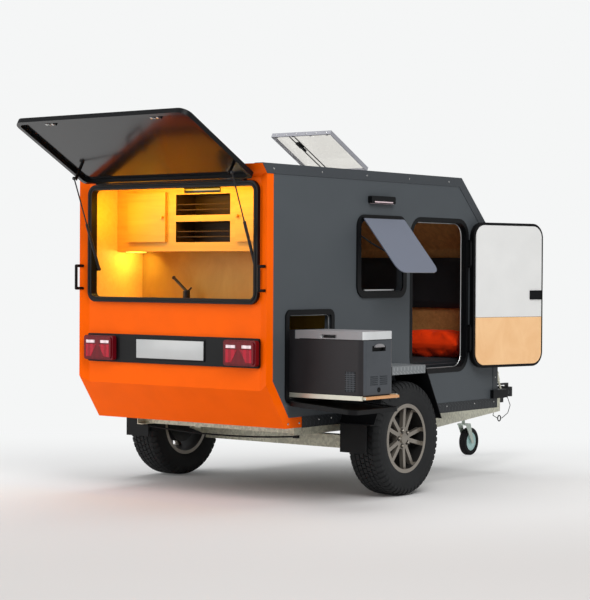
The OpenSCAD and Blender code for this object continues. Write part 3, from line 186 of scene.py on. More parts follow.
@dataclass(frozen=True)
class Finish:
    """A surface made of one real material; the base class is a plain moulded or coated skin."""

    name: str
    tone: str
    rough: float = 0.5
    metal: float = 0.0
    coat: float = 0.0
    grain_mm: float = 1.5
    relief: float = 0.15
    mottle: float = 0.06
    ior: float = 1.47
    glint: float = 0.4

    def material(self) -> bpy.types.Material:
        """Makes the material, or finds the one already made.

        Returns:
            The Blender material.
        """
        found = bpy.data.materials.get(self.name)
        if found is not None:
            return found
        made = bpy.data.materials.new(self.name)
        made.use_nodes = True
        tree = made.node_tree
        shader = tree.nodes["Principled BSDF"]
        shader.inputs["Base Color"].default_value = linear(self.tone)
        shader.inputs["Roughness"].default_value = self.rough
        shader.inputs["Metallic"].default_value = self.metal
        if self.metal < 0.5:
            shader.inputs["IOR"].default_value = self.ior
        shader.inputs["Specular IOR Level"].default_value = self.glint
        shader.inputs["Coat Weight"].default_value = self.coat
        shader.inputs["Coat Roughness"].default_value = 0.08
        where = add_node(tree, "ShaderNodeTexCoord").outputs["Object"]
        self.surface(tree, shader, where)
        made.diffuse_color = linear(self.tone)
        return made

    def surface(self, tree: Tree, shader: Node, where: Socket) -> None:
        """Adds the fine relief and the faint unevenness of colour of a moulded or coated skin.

        Args:
            tree: Node tree of the material.
            shader: The principled shader.
            where: Object coordinates in metres.
        """
        cloud = add_node(tree, "ShaderNodeTexNoise", {"Scale": 6.0, "Detail": 3.0}, {"Vector": where})
        self.shade(tree, shader, cloud.outputs["Fac"])
        fine = {"Scale": 1000.0 / self.grain_mm, "Detail": 2.0}
        grit = add_node(tree, "ShaderNodeTexNoise", fine, {"Vector": where})
        self.bump(tree, shader, grit.outputs["Fac"], self.grain_mm * 0.05)
        spread = remap(tree, cloud.outputs["Fac"], target=(self.rough * 0.88, min(1.0, self.rough * 1.15)))
        tree.links.new(spread, shader.inputs["Roughness"])

    def shade(self, tree: Tree, shader: Node, fac: Socket, other: Optional[str] = None) -> None:
        """Varies the base colour by a pattern.

        Args:
            tree: Node tree of the material.
            shader: The principled shader.
            fac: Pattern from 0 to 1.
            other: Second colour; a darker form of the tone where none is given.
        """
        base = linear(self.tone)
        if other is None:
            low = tuple(c * (1.0 - 2.0 * self.mottle) for c in base[:3]) + (1.0,)
            high = tuple(min(1.0, c * (1.0 + self.mottle)) for c in base[:3]) + (1.0,)
        else:
            low, high = linear(other), base
        ramp = add_node(tree, "ShaderNodeValToRGB", None, {"Fac": fac})
        ramp.color_ramp.elements[0].position = 0.3
        ramp.color_ramp.elements[1].position = 0.7
        ramp.color_ramp.elements[0].color = low
        ramp.color_ramp.elements[1].color = high
        tree.links.new(ramp.outputs["Color"], shader.inputs["Base Color"])

    def bump(self, tree: Tree, shader: Node, height: Socket, depth_mm: float) -> None:
        """Gives the shader a relief.

        Args:
            tree: Node tree of the material.
            shader: The principled shader.
            height: Height pattern from 0 to 1.
            depth_mm: Depth of the relief in millimetres.
        """
        depth = {"Strength": self.relief, "Distance": depth_mm / 1000.0}
        made = add_node(tree, "ShaderNodeBump", depth, {"Height": height})
        tree.links.new(made.outputs["Normal"], shader.inputs["Normal"])


@dataclass(frozen=True)
class PlyBoard(Finish):
    """Lacquered rotary-cut birch plywood: long soft figure, fine pores and a silk lacquer."""

    dark: str = "#B98A50"
    grain: Grain = Grain.ACROSS

    def surface(self, tree: Tree, shader: Node, where: Socket) -> None:
        """Adds the long figure of the veneer and its pores.

        Args:
            tree: Node tree of the material.
            shader: The principled shader.
            where: Object coordinates in metres.
        """
        run = add_node(tree, "ShaderNodeMapping", {"Scale": self.grain.value}, {"Vector": where})
        figure = add_node(
            tree,
            "ShaderNodeTexNoise",
            {"Scale": 1000.0 / 420.0, "Detail": 5.0, "Roughness": 0.62, "Distortion": 0.7},
            {"Vector": run.outputs[0]},
        )
        self.shade(tree, shader, figure.outputs["Fac"], self.dark)
        pores = add_node(
            tree, "ShaderNodeTexNoise", {"Scale": 1000.0 / 34.0, "Detail": 4.0}, {"Vector": run.outputs[0]}
        )
        self.bump(tree, shader, pores.outputs["Fac"], 0.3)


@dataclass(frozen=True)
class ChequerPlate(Finish):
    """Rolled chequer plate: raised lozenges that turn by a right angle from one to the next."""

    pitch_mm: float = 26.0

    def surface(self, tree: Tree, shader: Node, where: Socket) -> None:
        """Adds the lozenge relief, with painted shade between the lozenges and a painted highlight on their
        tops.

        Args:
            tree: Node tree of the material.
            shader: The principled shader.
            where: Object coordinates in metres.
        """
        turned = add_node(
            tree,
            "ShaderNodeMapping",
            {"Scale": (1000.0 / self.pitch_mm,) * 3, "Rotation": (0.0, 0.0, math.radians(45.0))},
            {"Vector": where},
        )
        axes = add_node(tree, "ShaderNodeSeparateXYZ", None, {0: turned.outputs[0]})
        steps: List[Socket] = []
        offsets: List[Socket] = []
        for source in (axes.outputs[0], maths(tree, "ADD", axes.outputs[1], axes.outputs[2])):
            steps.append(maths(tree, "FLOOR", source))
            middle = maths(tree, "SUBTRACT", maths(tree, "SUBTRACT", source, steps[-1]), 0.5)
            offsets.append(maths(tree, "ABSOLUTE", middle))
        odd = maths(tree, "PINGPONG", maths(tree, "ADD", *steps), 1.0)
        lens: List[Socket] = []
        for long_way, short_way in (offsets, offsets[::-1]):
            length = maths(tree, "MULTIPLY", maths(tree, "POWER", long_way, 2.0), 0.22)
            width = maths(tree, "MULTIPLY", maths(tree, "POWER", short_way, 2.0), 3.6)
            reach = maths(tree, "ADD", length, width)
            lens.append(remap(tree, reach, (0.03, 0.065), (1.0, 0.0), "SMOOTHSTEP"))
        pick = add_node(tree, "ShaderNodeMix", None, {0: odd, 2: lens[0], 3: lens[1]})
        self.bump(tree, shader, pick.outputs[0], 1.6)
        # Painted shade between the lozenges and a painted highlight on their tops.
        base = linear(self.tone)
        ramp = add_node(tree, "ShaderNodeValToRGB", None, {"Fac": pick.outputs[0]})
        ramp.color_ramp.elements[0].color = tuple(c * 0.82 for c in base[:3]) + (1.0,)
        ramp.color_ramp.elements[1].color = tuple(min(1.0, c * 1.35) for c in base[:3]) + (1.0,)
        tree.links.new(ramp.outputs["Color"], shader.inputs["Base Color"])


@dataclass(frozen=True)
class ZincCoat(Finish):
    """Hot-dip galvanised steel: dull zinc in spangles about 15 mm across."""

    spangle_mm: float = 15.0

    def surface(self, tree: Tree, shader: Node, where: Socket) -> None:
        """Adds the zinc spangles.

        Args:
            tree: Node tree of the material.
            shader: The principled shader.
            where: Object coordinates in metres.
        """
        cells = {"Scale": 1000.0 / self.spangle_mm}
        flower = add_node(tree, "ShaderNodeTexVoronoi", cells, {"Vector": where})
        level = add_node(tree, "ShaderNodeSeparateColor", None, {0: flower.outputs["Color"]})
        self.shade(tree, shader, level.outputs[0])
        spread = remap(tree, level.outputs[1], target=(self.rough * 0.8, min(1.0, self.rough * 1.25)))
        tree.links.new(spread, shader.inputs["Roughness"])
        self.bump(tree, shader, flower.outputs["Distance"], 0.2)


@dataclass(frozen=True)
class WovenCloth(Finish):
    """Plain woven cloth: threads over and under each other, with a dry sheen."""

    thread_mm: float = 2.4
    sheen: float = 0.35

    def surface(self, tree: Tree, shader: Node, where: Socket) -> None:
        """Adds the weave, drawn coarse enough to show, and uneven dye.

        Args:
            tree: Node tree of the material.
            shader: The principled shader.
            where: Object coordinates in metres.
        """
        shader.inputs["Sheen Weight"].default_value = self.sheen
        shader.inputs["Sheen Roughness"].default_value = 0.5
        heights: List[Socket] = []
        for direction in ("X", "Y"):
            scale = 50.0 / self.thread_mm
            run = {"bands_direction": direction, "Scale": scale, "Distortion": 0.6, "Detail": 1.0}
            heights.append(add_node(tree, "ShaderNodeTexWave", run, {"Vector": where}).outputs["Fac"])
        weave = maths(tree, "MULTIPLY", *heights)
        dye = add_node(tree, "ShaderNodeTexNoise", {"Scale": 9.0, "Detail": 6.0}, {"Vector": where})
        self.shade(tree, shader, dye.outputs["Fac"])
        self.bump(tree, shader, weave, 0.5)


@dataclass(frozen=True)
class ClearSheet(Finish):
    """Drawn acrylic sheet: clear or tinted, with a hard gloss."""

    through: float = 0.85

    def surface(self, tree: Tree, shader: Node, where: Socket) -> None:
        """Lets light through and adds the faint waviness of a drawn sheet.

        Args:
            tree: Node tree of the material.
            shader: The principled shader.
            where: Object coordinates in metres.
        """
        shader.inputs["Transmission Weight"].default_value = self.through
        shader.inputs["IOR"].default_value = self.ior
        wave = add_node(tree, "ShaderNodeTexNoise", {"Scale": 5.0, "Detail": 1.0}, {"Vector": where})
        self.bump(tree, shader, wave.outputs["Fac"], 0.6)


@dataclass(frozen=True)
class FlutedLens(Finish):
    """Moulded lamp lens: clear coloured plastic with fine upright flutes inside."""

    flute_mm: float = 7.0

    def surface(self, tree: Tree, shader: Node, where: Socket) -> None:
        """Adds the flutes behind a smooth glossy face.

        Args:
            tree: Node tree of the material.
            shader: The principled shader.
            where: Object coordinates in metres.
        """
        flute = add_node(
            tree,
            "ShaderNodeTexWave",
            {"bands_direction": "Y", "Scale": 50.0 / self.flute_mm, "Distortion": 0.0},
            {"Vector": where},
        )
        self.shade(tree, shader, flute.outputs["Fac"])
        self.bump(tree, shader, flute.outputs["Fac"], 0.5)


@dataclass(frozen=True)
class LitStrip(Finish):
    """Diffused lamp strip that glows."""

    strength: float = 3.0

    def surface(self, tree: Tree, shader: Node, where: Socket) -> None:
        """Makes the strip glow in its own colour."""
        shader.inputs["Emission Color"].default_value = linear(self.tone)
        shader.inputs["Emission Strength"].default_value = self.strength


# Gel coat: polished polyester over a mould, deep colour under a hard clear gloss.
ORANGE = Finish(
    "gel_coat_orange_polished", "#FA6200", 0.4, grain_mm=9.0, relief=0.05, mottle=0.02, glint=0.06
)
# Sandwich panel skin: coil-coated sheet with a satin face and a very fine orange peel.
PANEL = Finish(
    "sandwich_panel_anthracite_coated", "#4A4F53", 0.48, grain_mm=2.5, relief=0.08, mottle=0.02, glint=0.25
)
ROOF = Finish("sandwich_panel_light_grey_coated", "#B2B3B4", 0.5, grain_mm=2.5, relief=0.08, mottle=0.03)
# Powder coat: fused powder with a soft pebble.
TRIM = Finish(
    "aluminium_extrusion_powder_coated", "#3E4246", 0.45, grain_mm=1.2, relief=0.15, mottle=0.03, glint=0.3
)
# ABS: moulded, with a fine leather-like grain from the tool.
BLACK = Finish("abs_black_moulded", "#0B0C0E", 0.44, grain_mm=1.2, relief=0.25, mottle=0.06, glint=0.18)
GLOSS_BLACK = Finish(
    "glass_fibre_black_gloss", "#0E0F11", 0.14, coat=0.25, grain_mm=12.0, relief=0.04, mottle=0.04
)
LIGHT_GREY = Finish("abs_light_grey_moulded", "#C4C6C8", 0.45, grain_mm=1.2, relief=0.15, mottle=0.03)
MID_GREY = Finish("abs_mid_grey_moulded", "#94949A", 0.45, grain_mm=1.2, relief=0.15, mottle=0.03)
# Rubber: moulded, dull and slightly dusty.
RUBBER = Finish(
    "rubber_black_moulded", "#131415", 0.72, grain_mm=1.6, relief=0.3, mottle=0.12, ior=1.52, glint=0.25
)
TYRE = Finish(
    "tyre_rubber_vulcanised", "#1F2021", 0.7, grain_mm=2.2, relief=0.35, mottle=0.14, ior=1.52, glint=0.25
)
# Birch plywood: rotary-cut veneer under lacquer, pale and warm.
BIRCH = PlyBoard("birch_ply_lacquered", "#E2A847", 0.42, dark="#D69A3E", glint=0.2)
BIRCH_PALE = PlyBoard("birch_ply_pale_lacquered", "#F2C866", 0.42, dark="#EABB58", glint=0.2)
BIRCH_UP = PlyBoard(
    "birch_ply_upright_lacquered", "#D5A768", 0.44, dark="#CB9B5E", grain=Grain.CLOUDED, glint=0.3
)
BACK_BOARD = PlyBoard(
    "birch_ply_honey_stained", "#C29A44", 0.46, dark="#B48C3A", grain=Grain.CLOUDED, glint=0.25
)
# Painted shade: a near-black copy of the birch for the carcass faces seen through the bays.
BAY_SHADE_BOARD = PlyBoard("birch_ply_bay_painted_shade", "#26221E", 0.55, dark="#1C1916", grain=Grain.ALONG, glint=0.2)
DOOR_PLY = PlyBoard("poplar_ply_oiled", "#FBCD99", 0.5, dark="#F2BF89", grain=Grain.CLOUDED, glint=0.3)
BROWN_PLY = PlyBoard("walnut_ply_oiled", "#D6985A", 0.52, dark="#B47C46", grain=Grain.ALONG)
# Painted shade: a dark copy of the birch for the inside of the open shelves and their rails.
SHADED_PLY = PlyBoard("birch_ply_shelf_painted_shade", "#4A331A", 0.55, dark="#2E2010", glint=0.2)
TRAY_PLY = PlyBoard("poplar_ply_raw", "#D8A476", 0.6, dark="#BD8759", grain=Grain.ALONG, glint=0.2)
FLOOR_PLY = PlyBoard("floor_ply_sealed", "#5A5148", 0.6, dark="#443C35", grain=Grain.ALONG)
# Laminate: pressed sheet, white and even.
LAMINATE = Finish(
    "laminate_white_pressed", "#E6E6E4", 0.38, grain_mm=3.0, relief=0.05, mottle=0.015, glint=0.3
)
# Zinc: hot dip, dull with spangles.
ZINC = ZincCoat("steel_hot_dip_galvanised", "#CFCDB9", 0.46, metal=0.3, relief=0.2, mottle=0.08)
PLATED = Finish("steel_zinc_plated", "#CDCBBC", 0.34, metal=0.45, grain_mm=2.0, relief=0.1, mottle=0.05)
COATED = Finish("steel_black_dip_coated", "#17191B", 0.42, grain_mm=2.0, relief=0.2, mottle=0.08)
ALLOY = Finish(
    "alloy_cast_bronze_lacquered",
    "#8C857B",
    0.34,
    metal=0.55,
    coat=0.3,
    grain_mm=1.6,
    relief=0.1,
    mottle=0.06,
)
RIM_INSIDE = Finish("alloy_cast_black_lacquered", "#191817", 0.5, grain_mm=1.6, relief=0.1, mottle=0.06)
BRIGHT = Finish("steel_ground_bright", "#C4C4C2", 0.25, metal=1.0, grain_mm=0.8, relief=0.1, mottle=0.06)
ANODISED = Finish(
    "aluminium_anodised_satin", "#D6D7D6", 0.32, metal=0.85, grain_mm=0.8, relief=0.1, mottle=0.04
)
JOCKEY = Finish("steel_pale_zinc_plated", "#C6D2C8", 0.4, metal=0.3, grain_mm=3.0, relief=0.12, mottle=0.1)
HUB_TEAL = Finish("polypropylene_teal_moulded", "#C8ECE8", 0.4, grain_mm=1.4, relief=0.1, mottle=0.05)
SILL = ChequerPlate("aluminium_chequer_plate_dark_coated", "#2A2D30", 0.4, metal=0.2, relief=1.0)
FENDER = ChequerPlate("aluminium_chequer_plate_grey_coated", "#8A8E90", 0.4, metal=0.25, relief=0.8)
LENS = FlutedLens("polycarbonate_dark_red_moulded_lens", "#6A0A16", 0.3, relief=0.2, mottle=0.05, glint=0.2)
LENS_RED = FlutedLens("polycarbonate_red_moulded_lens", "#A81229", 0.26, relief=0.3, mottle=0.12, glint=0.2)
LENS_PALE = FlutedLens(
    "polycarbonate_clear_moulded_lens", "#E6CDD2", 0.12, coat=0.4, relief=0.25, mottle=0.06
)
PANE = ClearSheet("acrylic_tinted_drawn", "#747A8A", 0.06, relief=0.03, ior=1.49, through=0.3)
DOME = ClearSheet("acrylic_clear_moulded", "#F1EEE8", 0.04, relief=0.03, ior=1.2, through=0.96)
COOL_SIDE = Finish(
    "polypropylene_graphite_moulded", "#272527", 0.5, grain_mm=1.4, relief=0.35, mottle=0.08, glint=0.25
)
# Painted light: a lighter copy of the cool box graphite for its lit ends, the vent bars and the side vent
# ribs.
COOL_PAINTED_LIGHT = Finish(
    "polypropylene_graphite_painted_light", "#45494E", 0.44, grain_mm=1.4, relief=0.3, mottle=0.06, glint=0.35
)
# The lid's grey; on the hood over the grip it is a painted highlight.
COOL_LID = Finish(
    "polypropylene_grey_and_hood_painted_highlight", "#8B898B", 0.46, grain_mm=1.4, relief=0.3, mottle=0.04, glint=0.3
)
# Painted light: a lighter copy of the lid grey for the lid's lit ends.
COOL_LID_PAINTED_LIGHT = Finish(
    "polypropylene_grey_lid_painted_light", "#CDCFD0", 0.42, grain_mm=1.4, relief=0.25, mottle=0.03, glint=0.3
)
MATTRESS_CLOTH = WovenCloth(
    "polyester_cover_woven_grey", "#181B1F", 0.85, relief=0.5, mottle=0.1, glint=0.15, sheen=0.05
)
PILLOW_CLOTH = WovenCloth(
    "cotton_woven_red", "#FC3C05", 0.82, relief=0.4, mottle=0.08, thread_mm=2.0, glint=0.1, sheen=0.05
)
PAD_LEATHER = Finish("vinyl_black_embossed", "#27272A", 0.46, grain_mm=3.0, relief=0.5, mottle=0.1)
TAP_COAT = Finish("brass_black_coated", "#141416", 0.3, grain_mm=3.0, relief=0.08, mottle=0.04)
PLATE_WHITE = Finish(
    "number_plate_blank_reflective", "#BABCBC", 0.34, coat=0.2, grain_mm=1.0, relief=0.1, mottle=0.02
)
GLOW = LitStrip("led_strip_diffused", "#FFD458", 0.5, strength=1.1)


class Shape:
    """Collects the faces of one piece, in metres."""

    def __init__(self) -> None:
        """Starts with an empty mesh."""
        self.bm = bmesh.new()

    def block(self, low: Vector, high: Vector, soft: float = 0.0, turn: Optional[Matrix] = None) -> "Shape":
        """Adds a box with rounded edges.

        Args:
            low: Lowest corner.
            high: Highest corner.
            soft: Radius of the rounded edges.
            turn: Placement applied to the finished box.

        Returns:
            This shape.
        """
        size = high - low
        place = Matrix.Translation((low + high) / 2.0) @ Matrix.Diagonal((size.x, size.y, size.z, 1.0))
        made = bmesh.ops.create_cube(self.bm, size=1.0, matrix=place)
        verts = made["verts"]
        if soft > 0.0:
            edges = list({e for v in verts for e in v.link_edges})
            out = bmesh.ops.bevel(self.bm, geom=edges, offset=soft, segments=2, affect="EDGES", profile=0.5)
            verts = list({v for f in out["faces"] for v in f.verts} | {v for v in verts if v.is_valid})
        if turn is not None:
            bmesh.ops.transform(self.bm, matrix=turn, verts=verts)
        return self

    def tube(self, path: Sequence[Vector], radius: float, sides: int = 10, closed: bool = False) -> "Shape":
        """Sweeps a round bar along a path.

        Args:
            path: Points of the centre line.
            radius: Radius of the bar.
            sides: Corners of its section.
            closed: Whether the path returns to its start.

        Returns:
            This shape.
        """
        count = len(path)
        rings: List[List[Corner]] = []
        side = Vector((0.0, 0.0, 1.0))
        for i, point in enumerate(path):
            before = path[(i - 1) % count] if closed or i else point
            after = path[(i + 1) % count] if closed or i < count - 1 else point
            ahead = (after - before).normalized()
            side = side - ahead * side.dot(ahead)
            if side.length < 1e-4:
                side = ahead.orthogonal()
            side.normalize()
            across = ahead.cross(side)
            turns = (2.0 * math.pi * k / sides for k in range(sides))
            ring = [point + (side * math.cos(a) + across * math.sin(a)) * radius for a in turns]
            rings.append([self.bm.verts.new(p) for p in ring])
        for i in range(count if closed else count - 1):
            a, b = rings[i], rings[(i + 1) % count]
            for k in range(sides):
                self.bm.faces.new((a[k], a[(k + 1) % sides], b[(k + 1) % sides], b[k]))
        if not closed:
            self.bm.faces.new(rings[0][::-1])
            self.bm.faces.new(rings[-1])
        return self

    def lathe(
        self, profile: Sequence[Tuple[float, float]], place: Matrix, steps: int = 48, shut: bool = False
    ) -> "Shape":
        """Turns a profile about the local Z axis.

        Args:
            profile: Radius and height of each point.
            place: Placement of the axis.
            steps: Steps round the axis.
            shut: Whether the profile is a closed loop.

        Returns:
            This shape.
        """
        rings: List[List[Corner]] = []
        for k in range(steps):
            a = 2.0 * math.pi * k / steps
            rings.append([self.bm.verts.new(place @ polar(r, a, h)) for r, h in profile])
        last = len(profile) if shut else len(profile) - 1
        for k in range(steps):
            a, b = rings[k], rings[(k + 1) % steps]
            for i in range(last):
                j = (i + 1) % len(profile)
                self.bm.faces.new((a[i], b[i], b[j], a[j]))
        bmesh.ops.remove_doubles(self.bm, verts=self.bm.verts[:], dist=1e-6)
        return self

    def prism(self, corners: Sequence[Vector], deep: Vector) -> "Shape":
        """Adds a flat plate with any outline.

        Args:
            corners: Corners of its face.
            deep: Step from the face to the back.

        Returns:
            This shape.
        """
        front = [self.bm.verts.new(p) for p in corners]
        back = [self.bm.verts.new(p + deep) for p in corners]
        self.bm.faces.new(front)
        self.bm.faces.new(back[::-1])
        for k in range(len(front)):
            j = (k + 1) % len(front)
            self.bm.faces.new((front[k], back[k], back[j], front[j]))
        return self

    def screw(self, at: Vector, out: Vector, radius: float = 0.0055) -> "Shape":
        """Adds a domed screw head with a cross slot.

        Args:
            at: Point on the surface.
            out: Direction that the head faces.
            radius: Radius of the head.

        Returns:
            This shape.
        """
        place = Matrix.Translation(at) @ out.to_track_quat("Z", "Y").to_matrix().to_4x4()
        dome = [
            (radius, -0.0005),
            (radius, 0.0008),
            (radius * 0.72, 0.0022),
            (radius * 0.3, 0.0027),
            (0.0, 0.0028),
        ]
        self.lathe(dome, place, 14)
        for turn in (0.0, math.pi / 2.0):
            spin = place @ Matrix.Rotation(turn, 4, "Z")
            long, thin = radius * 0.55, radius * 0.1
            self.block(Vector((-long, -thin, 0.0022)), Vector((long, thin, 0.0030)), 0.0, spin)
        return self

    def piece(
        self, name: str, finish: Finish, body: str, slot: str, smooth: float = 35.0
    ) -> bpy.types.Object:
        """Makes the object and lets it ride on its body.

        Args:
            name: Name of the piece.
            finish: Its finish.
            body: Body of the part that carries it.
            slot: Not used.
            smooth: Largest angle in degrees that is shaded smooth.

        Returns:
            The new object.
        """
        bmesh.ops.recalc_face_normals(self.bm, faces=self.bm.faces[:])
        mesh = bpy.data.meshes.new(name)
        self.bm.to_mesh(mesh)
        self.bm.free()
        mesh.materials.append(finish.material())
        mesh.shade_smooth()
        mesh.set_sharp_from_angle(angle=math.radians(smooth))
        made = bpy.data.objects.new(name, mesh)
        bpy.context.scene.collection.objects.link(made)
        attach(made, body)
        LOG.info("piece %s on %s", name, body)
        return made


Chooser = Callable[[Vector, Vector], int]


def dress(node: str, finishes: Sequence[Finish], choose: Optional[Chooser] = None) -> None:
    """Gives a solid its finishes.

    Args:
        node: Name of the solid.
        finishes: Finishes in order.
        choose: Picks the finish's number from a face's middle and direction.
    """
    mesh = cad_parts[node].data
    mesh.materials.clear()
    for finish in finishes:
        mesh.materials.append(finish.material())
    for face in mesh.polygons:
        face.material_index = choose(face.center, face.normal) if choose else 0
    LOG.info("dressed %s", node)


def dress_plain(finishes: Dict[str, Finish]) -> None:
    """Gives each solid one finish all over.

    Args:
        finishes: Finish for each solid's name.
    """
    for node, finish in finishes.items():
        dress(node, (finish,))


BOXES: Dict[str, Tuple[Vector, Vector]] = {}


def box(node: str) -> Tuple[Vector, Vector]:
    """Measures a solid's box once.

    Args:
        node: Name of the solid.

    Returns:
        Its lowest and highest corner in the part's frame.
    """
    if node not in BOXES:
        BOXES[node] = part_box(node)
    return BOXES[node]


def rounded_loop(
    low: Vector, high: Vector, radius: float, plane: str, level: float, steps: int = 6
) -> List[Vector]:
    """Walks round a rectangle with rounded corners.

    Args:
        low: Lowest values of the two directions, in x and y.
        high: Highest values of the two directions, in x and y.
        radius: Corner radius.
        plane: "xz" for a side face or "yz" for an end face.
        level: Place of the plane on its own axis.
        steps: Points in each corner.

    Returns:
        Points of the closed loop.
    """
    points: List[Vector] = []
    corners = (
        (high.x - radius, high.y - radius, 0.0),
        (low.x + radius, high.y - radius, 90.0),
        (low.x + radius, low.y + radius, 180.0),
        (high.x - radius, low.y + radius, 270.0),
    )
    for cx, cy, start in corners:
        for k in range(steps + 1):
            a = math.radians(start + 90.0 * k / steps)
            u, v = cx + radius * math.cos(a), cy + radius * math.sin(a)
            points.append(Vector((u, level, v)) if plane == "xz" else Vector((level, u, v)))
    return points


def level_loop(low: Vector, high: Vector, inset: float, radius: float, z: float) -> List[Vector]:
    """Walks round a box at one height, with rounded corners.

    Args:
        low: Lowest corner of the box.
        high: Highest corner of the box.
        inset: How far inside the box the loop runs.
        radius: Corner radius.
        z: Height of the loop.

    Returns:
        Points of the closed loop.
    """
    near, far = Vector((low.x + inset, low.y + inset)), Vector((high.x - inset, high.y - inset))
    return [Vector((p.x, p.z, z)) for p in rounded_loop(near, far, radius, "xz", 0.0)]


@dataclass
class Body:
    """Walls, roof, rear shell and trims of the cabin."""

    screw_pitch_mm: float = 450.0
    trim_drop_mm: float = 27.0
    panel_wall_mm: float = 40.0
    plate_size_mm: Tuple[float, float] = (520.0, 110.0)
    plate_middle_mm: float = 872.0
    plate_rim_mm: float = 8.0
    lamp_w_mm: float = 236.0

    def dress(self) -> None:
        """Gives the panels their outer and inner skins."""
        inner = (HALF_WIDTH_MM - self.panel_wall_mm) / 1000.0 + 0.001
        dress("side_wall_right", (PANEL, BROWN_PLY), lambda c, n: 1 if n.y > 0.7 and abs(c.y) < inner else 0)
        dress("side_wall_left", (PANEL, BROWN_PLY), lambda c, n: 1 if n.y < -0.7 and abs(c.y) < inner else 0)
        dress("front_wall", (PANEL, BROWN_PLY), lambda c, n: 1 if n.x < -0.1 else 0)
        dress("roof_panel", (ROOF, LAMINATE, ORANGE), self.roof_face)
        dress("rear_shell", (ORANGE, BIRCH_UP), lambda c, n: 1 if n.x > 0.5 and abs(c.y) < inner else 0)
        dress_plain({"floor_panel": FLOOR_PLY, "edge_trims": TRIM, "sills": SILL, "tail_lamps": LENS})
        dress_plain({node: BLACK for node in ("front_bumper", "lamp_bar", "grab_handles", "side_lamps")})

    def roof_face(self, middle: Vector, out: Vector) -> int:
        """Picks roof skin, ceiling or the orange rear lip.

        Args:
            middle: Middle of the face.
            out: Direction of the face.

        Returns:
            Number of the finish.
        """
        if middle.x < road(REAR_MM, 0.0, 0.0).x + 0.002 and out.z < 0.5:
            return 2
        return 1 if out.z < -0.5 else 0

    def build(self) -> None:
        """Adds screws, the blank plate, lamp fields and lamp lenses."""
        self.screws()
        self.plate()
        self.lamp_windows()
        self.side_lamp_lenses()

    def screws(self) -> None:
        """Adds the screw heads along the trims, the orange strip and the sills."""
        heads = Shape()
        for side in (-1.0, 1.0):
            out = Vector((0.0, side, 0.0))
            y = side * (HALF_WIDTH_MM + 3.0)
            x = REAR_MM + 60.0
            while x < 950.0:
                heads.screw(road(x, y, ROOF_MM - self.trim_drop_mm), out)
                x += self.screw_pitch_mm
            for z in (640.0, 1000.0, 1400.0):
                heads.screw(road(FRONT_MM - self.trim_drop_mm, y, z), out)
            for x in (-850.0, -745.0):
                heads.screw(road(x, side * HALF_WIDTH_MM, 466.0), out, 0.007)
            for x in (-560.0, -440.0, 470.0, 800.0, 1130.0, 1370.0):
                heads.screw(road(x, y, 478.0), out)
        heads.piece("screw_heads", BRIGHT, "trailer", "bright_steel")

    def plate(self) -> None:
        """Adds the blank number plate in its holder between the tail lamps."""
        x = box("lamp_bar")[0].x
        wide, high = (v / 2000.0 for v in self.plate_size_mm)
        mid = road(0.0, 0.0, self.plate_middle_mm).z
        rim = self.plate_rim_mm / 1000.0
        for name, finish, slot, grow, front, back, soft in (
            ("plate_holder", BLACK, "black_plastic", rim, 0.006, 0.001, 0.003),
            ("blank_plate", PLATE_WHITE, "roof_skin", 0.0, 0.0085, -0.005, 0.0012),
        ):
            low = Vector((x - front, -wide - grow, mid - high - grow))
            far = Vector((x + back, wide + grow, mid + high + grow))
            Shape().block(low, far, soft).piece(name, finish, "trailer", slot)

    def lamp_windows(self) -> None:
        """Adds the red fields and the pale strips of each tail lamp."""
        low, high = box("tail_lamps")
        wide, tall = self.lamp_w_mm / 1000.0, high.z - low.z
        fields = (
            ("lamp_fields", LENS_RED, 0.0012, ((0.1, 0.13), (0.27, 0.13), (0.46, 0.64), (0.1, 0.64))),
            ("lamp_strips", LENS_PALE, 0.0016, ((0.11, 0.69), (0.4, 0.69), (0.4, 0.81), (0.11, 0.81))),
        )
        for name, finish, proud, outline in fields:
            shape = Shape()
            for side in (-1.0, 1.0):
                for flip in (False, True):
                    shares = [(1.0 - a if flip else a, b) for a, b in outline]
                    places = [(side * (high.y - wide * a), low.z + tall * b) for a, b in shares]
                    shape.prism([Vector((low.x - proud, y, z)) for y, z in places], Vector((0.004, 0.0, 0.0)))
            bmesh.ops.bevel(shape.bm, geom=shape.bm.edges[:], offset=0.0007, segments=1, affect="EDGES")
            shape.piece(name, finish, "trailer", "lamp_red")

    def side_lamp_lenses(self) -> None:
        """Adds the pale lens under and in front of each awning lamp."""
        low, high = box("side_lamps")
        shape = Shape()
        for side in (-1.0, 1.0):
            outer = abs(low.y)
            for inset, near, far, z0, z1 in (
                (0.012, 0.728, outer - 0.004, -0.0015, 0.004),
                (0.03, outer - 0.002, outer + 0.0015, 0.005, 0.013),
            ):
                y0, y1 = sorted((side * near, side * far))
                first = Vector((low.x + inset, y0, low.z + z0))
                shape.block(first, Vector((high.x - inset, y1, low.z + z1)), 0.001)
        shape.piece("side_lamp_lenses", LENS_PALE, "trailer", "acrylic_clear")


